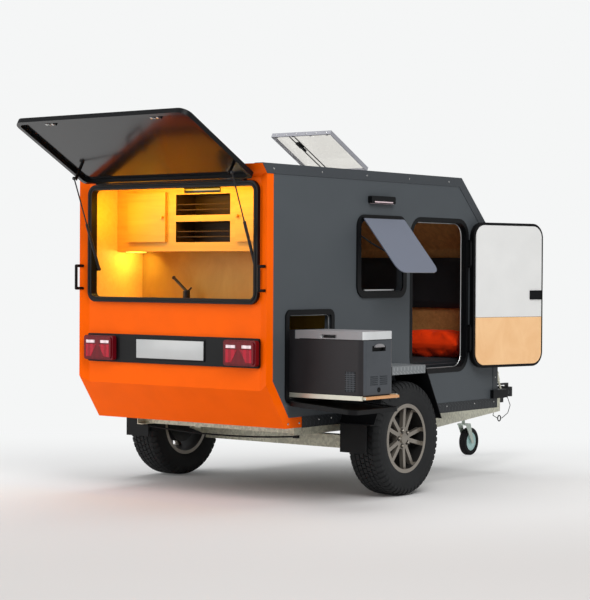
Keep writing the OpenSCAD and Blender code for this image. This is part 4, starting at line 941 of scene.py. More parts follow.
@dataclass
class RearHatch:
    """Rear hatch with its frame, struts, seal and catches."""

    seal_mm: float = 7.0
    open_deg: float = 119.0
    catch_mm: Tuple[float, float] = (401.4, 644.9)
    hinge_mm: Point = (-1068.0, 0.0, 1853.0)
    seal_half_mm: float = 643.0
    seal_top_mm: float = 1830.0

    def dress(self) -> None:
        """Gives the hatch, its frame and the struts their finishes."""
        dress("hatch_frame", (BLACK,))
        lean = math.radians(self.open_deg)
        axis = Vector((math.cos(lean), 0.0, -math.sin(lean)))
        dress("rear_hatch", (GLOSS_BLACK, BLACK), lambda c, n: 0 if abs(n.dot(axis)) > 0.99 else 1)
        struts = [f"strut_{part}_{side}" for part in ("tube", "rod") for side in ("left", "right")]
        dress_plain({strut: COATED for strut in struts})

    def build(self) -> None:
        """Adds the rubber seal round the opening and the catches."""
        y = self.seal_half_mm / 1000.0
        zlow, zhigh = box("hatch_frame")[0].z + 0.015, road(0.0, 0.0, self.seal_top_mm).z
        behind = road(REAR_MM, 0.0, 0.0).x - 0.001
        loop = rounded_loop(Vector((-y, zlow)), Vector((y, zhigh)), 0.05, "yz", behind)
        seal = Shape().tube(loop, self.seal_mm / 2000.0, 8, True)
        seal.piece("hatch_seal", RUBBER, "trailer", "black_rubber")
        self.catches()

    def catches(self) -> None:
        """Adds the bright hooks of the two catches on the inside of the hatch."""
        turn = Matrix.Translation(road(*self.hinge_mm)) @ Matrix.Rotation(math.radians(self.open_deg), 4, "Y")
        hooks = Shape()
        for side in (-1.0, 1.0):
            at = Vector((0.0, side * self.catch_mm[0] / 1000.0, -self.catch_mm[1] / 1000.0))
            pin = turn @ Matrix.Translation(at) @ Matrix.Rotation(math.pi / 2.0, 4, "Y")
            hooks.lathe([(0.0088, -0.001), (0.0105, 0.001), (0.0105, 0.008), (0.0088, 0.0099)], pin, 20, True)
            for y in (-0.0215, 0.0215):
                ear = at + Vector((0.0015, y, 0.0))
                reach = Vector((0.0025, 0.0085, 0.009))
                hooks.block(ear - reach, ear + reach, 0.0015, turn)
        hooks.piece("hatch_catch_hooks", BRIGHT, "rear_hatch", "bright_steel")


@dataclass
class Openings:
    """Doors, windows and the fridge flap with their frames."""

    split_mm: float = 1039.0
    opening_x_mm: Tuple[float, float] = (404.0, 1022.0)
    opening_z_mm: Tuple[float, float] = (722.0, 1647.0)
    hinge_z_mm: Tuple[float, float] = (903.0, 1452.0)
    hinge_x_mm: Tuple[float, float] = (1062.0, 1078.0)
    hinge_step_mm: Tuple[float, ...] = (-62.0, -40.0, 40.0, 62.0)
    flange_mm: float = 28.0

    def dress(self) -> None:
        """Gives doors, linings, panes and frames their finishes."""
        dress_plain(
            {"opening_frames": BLACK, "door_frames": BLACK, "fridge_flap": BLACK, "window_panes": PANE}
        )
        for side in ("right", "left"):
            dress(f"door_{side}", (PANEL, BLACK), self.door_face(side))
            split = road(0.0, 0.0, self.split_mm).z
            dress(f"door_{side}_lining", (LAMINATE, DOOR_PLY), lambda c, n: 1 if c.z < split else 0)

    def door_face(self, side: str) -> Chooser:
        """Tells the coated outer skin of a door from its black edge and fittings.

        Args:
            side: "right" for the open door, "left" for the closed one.

        Returns:
            A function that picks the finish of a face.
        """
        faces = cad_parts[f"door_{side}"].data.polygons
        areas = [(f.area, f.normal.copy(), f.center.copy()) for f in faces]
        big = max(areas, key=lambda item: item[0])
        axis = big[1]
        levels = [item[2].dot(axis) for item in areas if abs(item[1].dot(axis)) > 0.99 and item[0] > 0.02]
        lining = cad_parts[f"door_{side}_lining"].data.polygons[0].center
        outer = min(levels, key=lambda v: -abs(v - lining.dot(axis)))

        def choose(middle: Vector, out: Vector) -> int:
            """Picks 0 for the outer skin and 1 elsewhere."""
            flat = abs(out.dot(axis)) > 0.99 and abs(middle.dot(axis) - outer) < 0.001
            return 0 if flat else 1

        return choose

    def build(self) -> None:
        """Adds the window stays, the bright edge lines, the door flanges and the hinge screws."""
        self.stays()
        self.door_edges()
        self.hinge_screws()

    def stays(self) -> None:
        """Adds the two stays of the open window, its lock bar and the bright line in the fridge opening."""
        low, high = box("window_panes")
        stays, bar = Shape(), Shape()
        for x in (low.x + 0.014, high.x - 0.014):
            foot, head = road(0.0, -702.0, 1556.0), road(0.0, -893.0, 1456.0)
            foot.x = head.x = x
            stays.tube([foot, foot.lerp(head, 0.5) + Vector((0.0, 0.0, -0.006)), head], 0.005, 8)
        stays.piece("window_stays", COATED, "trailer", "coated_steel")
        bar.block(road(-90.0, -714.0, 1216.0), road(220.0, -702.0, 1227.0), 0.002)
        bar.piece("window_lock_bar", ANODISED, "trailer", "bright_steel")
        edge = [(-850.0, 700.0), (-850.0, 1062.0), (-844.0, 1075.0), (-832.0, 1081.0)]
        edge += [(-1305.0 - x, z) for x, z in reversed(edge)]
        Shape().tube([road(x, -713.0, z) for x, z in edge], 0.0024, 8).piece(
            "fridge_hatch_edge_line", ANODISED, "trailer", "bright_steel"
        )

    def door_edges(self) -> None:
        """Adds the bright line along the inner edge of each door opening and the black flange outside it."""
        (x0, x1), (z0, z1) = self.opening_x_mm, self.opening_z_mm
        low, high = road(x0 + 3.0, 0.0, z0 + 3.0), road(x1 - 3.0, 0.0, z1 - 3.0)
        bright, flange = Shape(), Shape()
        for side in (-1.0, 1.0):
            loop = rounded_loop(Vector((low.x, low.z)), Vector((high.x, high.z)), 0.082, "xz", side * 0.6865)
            bright.tube(loop, 0.0032, 6, True)
            rings = []
            for grow in (0.0, self.flange_mm / 1000.0):
                edge = rounded_loop(
                    Vector((low.x - 0.004 - grow, low.z - 0.004 - grow)),
                    Vector((high.x + 0.004 + grow, high.z + 0.004 + grow)),
                    0.086 + grow,
                    "xz",
                    side * (HALF_WIDTH_MM / 1000.0 + 0.0015),
                )
                rings.append([flange.bm.verts.new(p) for p in edge])
                rings.append([flange.bm.verts.new(p - Vector((0.0, side * 0.003, 0.0))) for p in edge])
            count = len(rings[0])
            for a, b in ((0, 2), (2, 3), (3, 1), (1, 0)):
                for k in range(count):
                    j = (k + 1) % count
                    flange.bm.faces.new((rings[a][k], rings[a][j], rings[b][j], rings[b][k]))
        bright.piece("door_edge_lines", ANODISED, "trailer", "bright_steel")
        flange.piece("door_flanges", BLACK, "trailer", "black_rubber")

    def hinge_screws(self) -> None:
        """Adds two pairs of screws to the wall plate of each door hinge."""
        heads = Shape()
        for side in (-1.0, 1.0):
            y = side * (HALF_WIDTH_MM + 2.0)
            for middle in self.hinge_z_mm:
                for dz in self.hinge_step_mm:
                    for x in self.hinge_x_mm:
                        heads.screw(road(x, y, middle + dz), Vector((0.0, side, 0.0)), 0.0045)
        heads.piece("hinge_screws", BRIGHT, "trailer", "bright_steel")


@dataclass
class Galley:
    """Worktop, cupboards and the slide-out cool box."""

    panel_y_mm: Tuple[float, float] = (-147.0, 136.0)
    panel_z_mm: Tuple[float, float] = (1798.0, 1850.0)
    shelf_z_mm: Tuple[float, float] = (1480.0, 1800.0)
    grip_share: float = 0.8
    vent_share: float = 0.2
    vent_mm: float = 74.0
    sink_mm: Point = (-772.0, 110.0, 0.0)
    sink_r_mm: float = 152.0
    sunk_mm: float = 1137.0
    liner_x_mm: Tuple[float, float] = (-1006.0, -398.0)
    liner_y_mm: Tuple[float, float] = (683.4, 684.9)
    liner_z_mm: Tuple[float, float] = (1141.0, 1886.0)

    def dress(self) -> None:
        """Gives furniture, rails and cool box their finishes."""
        # Carcass: near-black ply on all but its rear-facing faces is painted shade.
        dress("galley_carcass", (BAY_SHADE_BOARD, BACK_BOARD), lambda c, n: 1 if n.x < -0.9 else 0)
        dress("galley_cabinet", (BIRCH, SHADED_PLY), self.cabinet_face)
        sunk = road(0.0, 0.0, self.sunk_mm).z
        dress("worktop", (BIRCH, BRIGHT), lambda c, n: 1 if c.z < sunk and self.in_sink(c) else 0)
        dress_plain({"tap": TAP_COAT, "cupboard_left": BIRCH, "cupboard_right": BIRCH, "slide_rails": ZINC})
        tray_low, tray_high = box("slide_tray")
        dress(
            "slide_tray",
            (TRAY_PLY, PLATED),
            lambda c, n: 1 if c.x < tray_low.x + 0.0125 or c.x > tray_high.x - 0.0125 else 0,
        )
        # Cool box: the lighter ends are painted light; black in the grip recess and vent slots is painted
        # shade.
        dress("fridge_box", (COOL_SIDE, COOL_PAINTED_LIGHT, BLACK), self.cool_face)
        # Lid: its ends take the lighter grey as painted light.
        dress("fridge_lid", (COOL_LID, COOL_LID_PAINTED_LIGHT), lambda c, n: 1 if abs(n.y) > 0.7 else 0)

    def in_sink(self, middle: Vector) -> bool:
        """Tells whether a face belongs to the sink bowl."""
        hub = road(*self.sink_mm)
        return math.hypot(middle.x - hub.x, middle.y - hub.y) < self.sink_r_mm / 1000.0

    def cool_face(self, middle: Vector, out: Vector) -> int:
        """Picks graphite for the cool box's sides, a lighter copy as painted light for its ends, and black as
        painted shade in the grip recess, the vent slots and on level faces.

        Args:
            middle: Middle of the face.
            out: Direction of the face.

        Returns:
            Number of the finish.
        """
        outer = box("fridge_box")[0].y
        if outer + 0.0008 < middle.y < outer + 0.0185 and abs(out.x) < 0.05 or abs(out.z) > 0.9:
            return 2
        return 1 if abs(out.y) > 0.75 else 0

    def cabinet_face(self, middle: Vector, out: Vector) -> int:
        """Picks a dark copy of the ply as painted shade inside the open shelves and pale ply elsewhere.

        Args:
            middle: Middle of the face.
            out: Direction of the face.

        Returns:
            Number of the finish.
        """
        front = box("galley_cabinet")[0].x
        deep = (middle.x > front + 0.0005 or out.x > -0.99) and abs(middle.y + 0.008) < 0.2135
        low, high = (road(0.0, 0.0, z).z for z in self.shelf_z_mm)
        return 1 if deep and low < middle.z < high and out.x < 0.9 else 0

    def build(self) -> None:
        """Adds the control panel, the lamp strip, the side liners and the cool box fittings."""
        x = box("galley_cabinet")[0].x
        (y0, y1), (z0, z1) = self.panel_y_mm, self.panel_z_mm
        low, high = road(0.0, y0, z0), road(0.0, y1, z1)
        Shape().block(Vector((x - 0.006, low.y, low.z)), Vector((x + 0.001, high.y, high.z)), 0.003).piece(
            "control_panel", GLOSS_BLACK, "trailer", "black_plastic"
        )
        z = box("galley_cabinet")[0].z
        Shape().block(Vector((x + 0.05, 0.62, z - 0.008)), Vector((x + 0.2, 0.66, z + 0.001)), 0.003).piece(
            "lamp_strip", GLOW, "trailer", "acrylic_clear"
        )
        liners = Shape()
        for side in (-1.0, 1.0):
            y0, y1 = sorted(side * y for y in self.liner_y_mm)
            (x0, x1), (z0, z1) = self.liner_x_mm, self.liner_z_mm
            liners.block(road(x0, y0, z0), road(x1, y1, z1))
        liners.piece("galley_liners", BIRCH_PALE, "trailer", "birch_ply")
        self.cool_box()

    def cool_box(self) -> None:
        """Adds the cool box's lid seam, latch, hood over the grip, vent grids and power socket."""
        low, high = box("fridge_lid")
        seam = level_loop(low, high, 0.001, 0.039, low.z + 0.001)
        Shape().tube(seam, 0.0026, 6, True).piece("cool_box_seam", RUBBER, "fridge_slide", "black_rubber")
        mid = (low.y + high.y) / 2.0
        Shape().block(
            Vector((low.x + 0.001, mid - 0.04, low.z + 0.011)),
            Vector((low.x + 0.007, mid + 0.04, low.z + 0.024)),
            0.002,
        ).piece("cool_box_latch", BLACK, "fridge_lid", "black_plastic")
        base = box("fridge_box")[0]
        tall = low.z - base.z
        xm = (low.x + high.x) / 2.0
        face = base.y
        top = base.z + self.grip_share * tall + 0.03
        # The hood takes the lid grey, paler than the box, as a painted highlight.
        hood = Shape()
        turns = [math.pi * k / 10.0 for k in range(11)]
        arch = [(0.046 * math.cos(turn), 0.02 * math.sin(turn)) for turn in turns]
        outline = [Vector((xm + a, face - 0.011, top - 0.008 + b)) for a, b in arch]
        hood.prism(outline, Vector((0.0, 0.013, 0.0)))
        bmesh.ops.bevel(hood.bm, geom=hood.bm.edges[:], offset=0.002, segments=2, affect="EDGES")
        hood.piece("cool_box_hood", COOL_LID, "fridge_slide", "black_plastic")
        # Front vent bars take the lighter end copy as painted light.
        bars = Shape()
        z0 = base.z + self.vent_share * tall
        for side in (-1.0, 1.0):
            for k in range(8):
                x = xm + side * self.vent_mm * 0.6 / 1000.0 + (k - 3.5) * 0.0093
                near = Vector((x - 0.0014, face - 0.0006, z0 - 0.002))
                bars.block(near, Vector((x + 0.0014, face + 0.004, z0 + 0.051)))
        bars.piece("cool_box_vent_bars", COOL_PAINTED_LIGHT, "fridge_slide", "black_plastic")
        # Side vent: the ribs in the lighter copy are a painted highlight on the black plate.
        vent, ribs, socket = Shape(), Shape(), Shape()
        y0, z0 = face + 0.052, base.z + 0.026
        vent.block(Vector((base.x - 0.0008, y0, z0)), Vector((base.x + 0.002, y0 + 0.07, z0 + 0.112)))
        for k in range(6):
            y = y0 + 0.01 + k * 0.01
            ribs.block(Vector((base.x - 0.0022, y - 0.0016, z0)), Vector((base.x, y + 0.0016, z0 + 0.112)))
        for k in range(8):
            z = z0 + 0.014 + k * 0.012
            ribs.block(Vector((base.x - 0.002, y0, z - 0.0016)), Vector((base.x, y0 + 0.07, z + 0.0016)))
        vent.piece("cool_box_side_vent", BLACK, "fridge_slide", "black_plastic")
        ribs.piece("cool_box_side_ribs", COOL_PAINTED_LIGHT, "fridge_slide", "black_plastic")
        spot = Matrix.Translation(Vector((xm, face, base.z + 0.035))) @ Matrix.Rotation(math.pi / 2.0, 4, "X")
        cup = [(0.014, -0.001), (0.014, 0.003), (0.011, 0.0035), (0.009, 0.001), (0.0, 0.001)]
        socket.lathe(cup, spot, 24)
        socket.piece("cool_box_socket", BLACK, "fridge_slide", "black_plastic")


@dataclass
class Berth:
    """Bed base, mattress, pillow and the padded panel behind the heads."""

    pressure: float = 4.0
    steps: int = 20
    shrink_m: float = 0.008

    def dress(self) -> None:
        """Gives the bed base its ply."""
        dress("bed_base", (BIRCH_UP,))
        for node in ("mattress", "pillow", "headboard"):
            dress(node, (MATTRESS_CLOTH,))

    def build(self) -> None:
        """Makes the mattress, the pillow and the padded panel."""
        self.mattress()
        self.pillow()
        self.panel()

    def slab(
        self, name: str, low: Vector, high: Vector, finish: Finish, slot: str, crown: float, cells: int
    ) -> bpy.types.Object:
        """Makes a stuffed slab with rounded edges, a crowned top and soft dents.

        Args:
            name: Name of the piece.
            low: Lowest corner of its space.
            high: Highest corner of its space.
            finish: Cover cloth.
            slot: Material slot of the record.
            crown: How far the edges draw in.
            cells: Steps along the longest side.

        Returns:
            The new object.
        """
        size = high - low
        step = max(size) / cells
        counts = [max(3, int(round(s / step))) for s in size]
        shape = Shape()
        index: Dict[Tuple[int, int, int], Corner] = {}
        for i in range(counts[0] + 1):
            for j in range(counts[1] + 1):
                for k in range(counts[2] + 1):
                    if 0 < i < counts[0] and 0 < j < counts[1] and 0 < k < counts[2]:
                        continue
                    t = [i / counts[0], j / counts[1], k / counts[2]]
                    point = Vector([low[a] + size[a] * t[a] for a in range(3)])
                    index[(i, j, k)] = shape.bm.verts.new(self.soften(point, low, high, crown))
        spans = [(0, 1, 2), (1, 2, 0), (2, 0, 1)]
        for a, b, c in spans:
            for level in (0, counts[a]):
                for i in range(counts[b]):
                    for j in range(counts[c]):
                        quad = []
                        for di, dj in ((0, 0), (1, 0), (1, 1), (0, 1)):
                            key = [0, 0, 0]
                            key[a], key[b], key[c] = level, i + di, j + dj
                            quad.append(index[(key[0], key[1], key[2])])
                        shape.bm.faces.new(quad)
        return shape.piece(name, finish, "trailer", slot, 80.0)

    def soften(self, point: Vector, low: Vector, high: Vector, crown: float) -> Vector:
        """Draws a point of a slab in towards a rounded, uneven pad.

        Args:
            point: Point on the box.
            low: Lowest corner of the box.
            high: Highest corner of the box.
            crown: Corner radius.

        Returns:
            The moved point, still inside the box.
        """
        core = Vector([min(max(point[a], low[a] + crown), high[a] - crown) for a in range(3)])
        away = point - core
        if away.length > 1e-9:
            point = core + away.normalized() * crown
        dent = noise.noise(point * 5.0) * 0.5 + 0.5
        inward = ((low + high) / 2.0 - point).normalized()
        return point + inward * (0.006 * dent)

    def keep(self, made: bpy.types.Object) -> None:
        """Applies a piece's modifiers to its mesh.

        Args:
            made: The piece.
        """
        graph = bpy.context.evaluated_depsgraph_get()
        mesh = bpy.data.meshes.new_from_object(made.evaluated_get(graph), depsgraph=graph)
        made.modifiers.clear()
        old, made.data = made.data, mesh
        if not mesh.materials:
            mesh.materials.append(old.materials[0])
        bpy.data.meshes.remove(old)
        mesh.shade_smooth()

    def swell(self, made: bpy.types.Object, space: Tuple[Vector, Vector], cell: float, cap: float) -> None:
        """Blows a stuffed cover up by a cloth simulation and keeps the result.

        Args:
            made: The piece, which starts a little smaller than its space.
            space: Lowest and highest corner that it may fill.
            cell: Width of a mesh cell in metres.
            cap: Farthest that a point may move, in metres.
        """
        scene = bpy.context.scene
        even = made.modifiers.new("even_mesh", "REMESH")
        even.mode, even.voxel_size = "VOXEL", cell
        self.keep(made)
        start = [v.co.copy() for v in made.data.vertices]
        cloth = made.modifiers.new("stuffing", "CLOTH")
        cloth.settings.use_pressure = True
        cloth.settings.uniform_pressure_force = self.pressure
        cloth.settings.effector_weights.gravity = 0.0
        for step in range(1, self.steps + 1):
            scene.frame_set(step)
        self.keep(made)
        for vertex, home in zip(made.data.vertices, start):
            move = vertex.co - home
            if move.length > cap:
                move = move.normalized() * cap
            vertex.co = [min(max(home[a] + move[a], space[0][a]), space[1][a]) for a in range(3)]
        made.modifiers.new("cover", "SUBSURF").levels = 1
        self.keep(made)
        scene.frame_set(1)
        LOG.info("swelled %s to %d points", made.name, len(made.data.vertices))

    def pad(self, node: str, finish: Finish, slot: str, crown: float, cell: float) -> None:
        """Makes a stuffed slab in the place of a plain solid.

        Args:
            node: Name of the solid.
            finish: Cover cloth.
            slot: Material slot of the record.
            crown: Radius of its edges.
            cell: Width of a mesh cell in metres.
        """
        low, high = box(node)
        inset = Vector((self.shrink_m,) * 3)
        made = self.slab(f"{node}_stuffed", low + inset, high - inset, finish, slot, crown, 44)
        self.swell(made, (low, high), cell, 2.0 * self.shrink_m)
        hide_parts(node)

    def mattress(self) -> None:
        """Makes the mattress with its piped edges."""
        self.pad("mattress", MATTRESS_CLOTH, "foam_fabric", 0.028, 0.024)
        low, high = box("mattress")
        shape = Shape()
        for z in (low.z + 0.024, high.z - 0.024):
            shape.tube(level_loop(low, high, 0.004, 0.03, z), 0.004, 6, True)
        shape.piece("mattress_piping", PAD_LEATHER, "trailer", "padding")

    def panel(self) -> None:
        """Makes the padded panel behind the heads."""
        self.pad("headboard", PAD_LEATHER, "padding", 0.011, 0.012)

    def pillow(self) -> None:
        """Makes the pillow: two squares of cloth sewn at the edge, stuffed, creased towards the corners."""
        low, high = box("pillow")
        mid, half = (low + high) / 2.0, (high - low) / 2.0
        cells = 40
        shape = Shape()
        grid: Dict[Tuple[int, int, int], Corner] = {}
        for layer in (0, 1):
            for i in range(cells + 1):
                for j in range(cells + 1):
                    u, v = 2.0 * i / cells - 1.0, 2.0 * j / cells - 1.0
                    if layer and max(abs(u), abs(v)) > 0.999:
                        grid[(1, i, j)] = grid[(0, i, j)]
                        continue
                    puff = (max(0.0, 1.0 - abs(u) ** 2.6) * max(0.0, 1.0 - abs(v) ** 2.6)) ** 0.5
                    pull = 1.0 - 0.07 * (1.0 - u * u) * v**4 - 0.07 * (1.0 - v * v) * u**4
                    fold = 0.02 * noise.noise(Vector((u * 2.7, v * 2.7, layer * 7.0))) * puff
                    rise = (0.84 * half.z * puff + fold) * (1.0 if layer else -1.0)
                    spread = Vector((0.97 * half.x * u * pull, 0.97 * half.y * v * pull, rise))
                    grid[(layer, i, j)] = shape.bm.verts.new(mid + spread)
        for layer in (0, 1):
            for i in range(cells):
                for j in range(cells):
                    quad = [grid[(layer, i + a, j + b)] for a, b in ((0, 0), (1, 0), (1, 1), (0, 1))]
                    shape.bm.faces.new(quad if layer else quad[::-1])
        made = shape.piece("pillow_stuffed", PILLOW_CLOTH, "trailer", "pillow_fabric", 80.0)
        self.swell(made, (low, high), 0.009, 0.016)
        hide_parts("pillow")


@dataclass
class Roof:
    """Roof hatch with its lid, screws, strips and latch."""

    screws: int = 6
    strip_y_mm: Tuple[float, ...] = (118.0, 82.0, -222.0)
    hinge_mm: Point = (602.0, 0.0, 1968.0)
    open_deg: float = 28.0
    clear_half_mm: float = 225.0

    def dress(self) -> None:
        """Gives the frame and the lid their finishes."""
        dress("roof_hatch_frame", (LIGHT_GREY,))
        dress("roof_hatch_lid", (DOME, MID_GREY), self.lid_face)

    def lid_face(self, middle: Vector, out: Vector) -> int:
        """Picks clear acrylic for the lid's top and grey for its rim.

        Args:
            middle: Middle of the face.
            out: Direction of the face.

        Returns:
            Number of the finish.
        """
        lean = math.radians(self.open_deg)
        level = abs(out.dot(Vector((math.sin(lean), 0.0, math.cos(lean))))) > 0.98
        return 0 if level and abs(middle.y) < self.clear_half_mm / 1000.0 else 1

    def build(self) -> None:
        """Adds the screws, the dark strips and the latch of the lid."""
        turn = Matrix.Translation(road(*self.hinge_mm)) @ Matrix.Rotation(math.radians(self.open_deg), 4, "Y")
        heads, strips, latch = Shape(), Shape(), Shape()
        for k in range(self.screws):
            y = -0.2 + 0.4 * k / (self.screws - 1)
            at = turn @ Vector((-0.4645, y, 0.024))
            heads.screw(at, (turn.to_3x3() @ Vector((-1.0, 0.0, 0.0))).normalized(), 0.005)
        heads.piece("lid_screws", BRIGHT, "roof_hatch", "bright_steel")
        for y in self.strip_y_mm:
            strips.tube([turn @ Vector((x, y / 1000.0, 0.0295)) for x in (-0.455, -0.02)], 0.0035, 8)
        for y in (-0.2, -0.07, 0.07, 0.2):
            strips.block(Vector((-0.4575, y - 0.009, 0.012)), Vector((-0.447, y + 0.009, 0.031)), 0.002, turn)
        strips.piece("lid_strips", COATED, "roof_hatch", "black_plastic")
        latch.block(Vector((-0.36, 0.086, 0.016)), Vector((-0.3, 0.114, 0.0325)), 0.004, turn)
        latch.block(Vector((-0.3, 0.094, 0.019)), Vector((-0.255, 0.106, 0.0325)), 0.003, turn)
        latch.piece("lid_latch", BLACK, "roof_hatch", "black_plastic")


@dataclass
class RunningGear:
    """Wheels, fenders, axle and mud flaps."""

    tyre_r: float = 0.341
    tyre_w: float = 0.215
    ribs: int = 5
    blocks: int = 62
    depth: float = 0.008
    lug_count: int = 52
    seat_share: float = 0.557
    track_half_mm: float = 867.5
    hub_face: float = 0.07
    nut_ring: float = 0.049
    nut_count: int = 5

    def dress(self) -> None:
        """Gives wheels, fenders and axle their finishes."""
        for side in ("left", "right"):
            dress(f"tyre_{side}", (TYRE,))
            dress(f"rim_{side}", (ALLOY, RIM_INSIDE), self.rim_face)
        dress("fenders", (FENDER, BLACK), self.fender_face)
        dress_plain({"mudflaps": RUBBER, "wiring_loom": RUBBER})
        dress_plain({"axle": ZINC, "chassis_rails": ZINC, "cross_members": ZINC})

    def rim_face(self, middle: Vector, out: Vector) -> int:
        """Picks black lacquer for the barrel and the drum behind the spokes.

        Args:
            middle: Middle of the face.
            out: Direction of the face.

        Returns:
            Number of the finish.
        """
        hub = road(0.0, 0.0, 1000.0 * self.tyre_r)
        radial = Vector((middle.x - hub.x, 0.0, middle.z - hub.z))
        deep = box("rim_left")[1].y - abs(middle.y)
        barrel = radial.length > 0.14 and out.dot(radial.normalized()) < -0.4 and deep > 0.016
        return 1 if barrel or (radial.length < 0.127 and abs(middle.y) < 0.869) else 0

    def fender_face(self, middle: Vector, out: Vector) -> int:
        """Picks chequer plate for the upper faces and black elsewhere."""
        return 0 if middle.z > road(0.0, 0.0, 690.0).z and (out.z > 0.35 or abs(out.y) > 0.5) else 1

    def build(self) -> None:
        """Adds tyres with their tread, wheel nuts and centre caps."""
        for side, sign in (("left", 1.0), ("right", -1.0)):
            self.tyre(side, sign)
            self.nuts(side, sign)

    def place(self, sign: float) -> Matrix:
        """Gives the wheel's frame, with Z out of the trailer.

        Args:
            sign: 1 for the left wheel, -1 for the right.

        Returns:
            The placement of the wheel.
        """
        at = road(0.0, sign * self.track_half_mm, 1000.0 * self.tyre_r)
        return Matrix.Translation(at) @ Matrix.Rotation(-sign * math.pi / 2.0, 4, "X")

    def half_width(self, t: float) -> float:
        """Gives the half width of the tyre.

        Args:
            t: Place between the bead at 0 and the tread at 1.

        Returns:
            Metres from the tyre's middle plane.
        """
        w = self.tyre_w / 2.0
        if t < 0.5:
            return w * (0.8 + 0.2 * math.sin(math.pi * t))
        return w * (1.0 - 0.4 * (2.0 * t - 1.0) ** 4)

    def tyre(self, side: str, sign: float) -> None:
        """Makes a tyre with sidewall rings, grooves and tread blocks.

        Args:
            side: Name of the side.
            sign: 1 for the left wheel, -1 for the right.
        """
        place = self.place(sign)
        seat = self.seat_share * self.tyre_r
        base = self.tyre_r - self.depth
        outer: List[Tuple[float, float]] = []
        steps = 22
        for k in range(steps + 1):
            t = k / steps
            r = seat + t * (self.tyre_r - seat)
            if r > base:
                break
            w = self.half_width(t)
            ring = 0.0014 * (1.0 if 0.16 < t < 0.2 or 0.62 < t < 0.66 else 0.0)
            outer.append((r, w + ring - 0.0002))
        edge = self.half_width(0.955)
        profile = [(seat, -outer[0][1] + 0.03)] + [(r, -w) for r, w in outer]
        profile += [(base, -edge), (base, -edge * 0.5), (base, 0.0), (base, edge * 0.5), (base, edge)]
        profile += [(r, w) for r, w in reversed(outer)] + [(seat, outer[0][1] - 0.03)]
        shape = Shape().lathe(profile, place, 96, True)
        self.tread(shape, place, base, edge)
        self.lugs(shape, place)
        made = shape.piece(f"tyre_{side}_treaded", TYRE, f"wheel_{side}", "tyre", 30.0)
        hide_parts(f"tyre_{side}")

    def tread(self, shape: Shape, place: Matrix, base: float, edge: float) -> None:
        """Adds the tread blocks between the grooves.

        Args:
            shape: Shape of the tyre.
            place: Placement of the wheel.
            base: Radius at the bottom of the grooves.
            edge: Half width of the tread.
        """
        pitch = 2.0 * math.pi / self.blocks
        for rib in range(self.ribs):
            y0 = -edge + 2.0 * edge * rib / self.ribs + 0.003
            y1 = -edge + 2.0 * edge * (rib + 1) / self.ribs - 0.003
            skew = 0.18 * (rib - 2)
            for k in range(self.blocks):
                a0 = pitch * (k + (0.5 if rib % 2 else 0.0))
                a1 = a0 + pitch * 0.82
                corners: List[Corner] = []
                for r in (base - 0.002, self.tyre_r):
                    for a, y, lean in ((a0, y0, 0.0), (a1, y0, 0.0), (a1, y1, skew), (a0, y1, skew)):
                        top = r if r < base else r - 0.0035 * (abs(y) / edge) ** 4
                        turn = a + lean * pitch
                        corners.append(shape.bm.verts.new(place @ polar(top, turn, y)))
                shape.bm.faces.new(corners[4:])
                for i in range(4):
                    j = (i + 1) % 4
                    shape.bm.faces.new((corners[i], corners[j], corners[4 + j], corners[4 + i]))

    def lugs(self, shape: Shape, place: Matrix) -> None:
        """Adds the shoulder lugs, long and short in turn, on both sides of the tyre.

        Args:
            shape: Shape of the tyre.
            place: Placement of the wheel.
        """
        seat = self.seat_share * self.tyre_r
        pitch = 2.0 * math.pi / self.lug_count
        for k in range(self.lug_count):
            start = (0.8 if k % 2 else 0.87) * self.tyre_r
            section: List[Tuple[float, float]] = []
            inner: List[Tuple[float, float]] = []
            rise = ((0.92, 0.006), (0.965, 0.009), (0.988, 0.006))
            for r, proud in [(start, 0.0008)] + [(share * self.tyre_r, proud) for share, proud in rise]:
                w = self.half_width((r - seat) / (self.tyre_r - seat))
                section.append((r, w + proud))
                inner.append((r - 0.004, w - 0.012))
            outline = section + inner[::-1]
            for sign in (-1.0, 1.0):
                a0 = pitch * (k + (0.0 if sign > 0.0 else 0.5))
                ends = [
                    [shape.bm.verts.new(place @ polar(r, a, sign * w)) for r, w in outline]
                    for a in (a0, a0 + 0.62 * pitch)
                ]
                shape.bm.faces.new(ends[0])
                shape.bm.faces.new(ends[1][::-1])
                for i in range(len(outline)):
                    j = (i + 1) % len(outline)
                    shape.bm.faces.new((ends[0][i], ends[1][i], ends[1][j], ends[0][j]))

    def nuts(self, side: str, sign: float) -> None:
        """Adds the wheel nuts, each on a flat dark disc of painted shade for its well, and the centre cap.

        Args:
            side: Name of the side.
            sign: 1 for the left wheel, -1 for the right.
        """
        place = self.place(sign)
        shape, wells = Shape(), Shape()
        for k in range(self.nut_count):
            a = 2.0 * math.pi * (k + 0.5) / self.nut_count
            hub = place @ Matrix.Translation(polar(self.nut_ring, a, self.hub_face))
            shape.lathe([(0.0095, -0.002), (0.0095, 0.012), (0.0075, 0.014), (0.0, 0.014)], hub, 6)
            # Painted shade: a flat dark disc round each nut stands in for the shade in its well.
            wells.lathe([(0.0145, -0.002), (0.0145, 0.0012), (0.0, 0.0012)], hub, 24)
        cap = place @ Matrix.Translation((0.0, 0.0, self.hub_face))
        shape.lathe([(0.03, 0.004), (0.0325, 0.0085), (0.028, 0.0095), (0.0, 0.0095)], cap, 32)
        wells.piece(f"wheel_nut_well_shade_{side}", RIM_INSIDE, f"wheel_{side}", "bright_steel")
        shape.piece(f"wheel_nuts_{side}", ALLOY, f"wheel_{side}", "bright_steel")


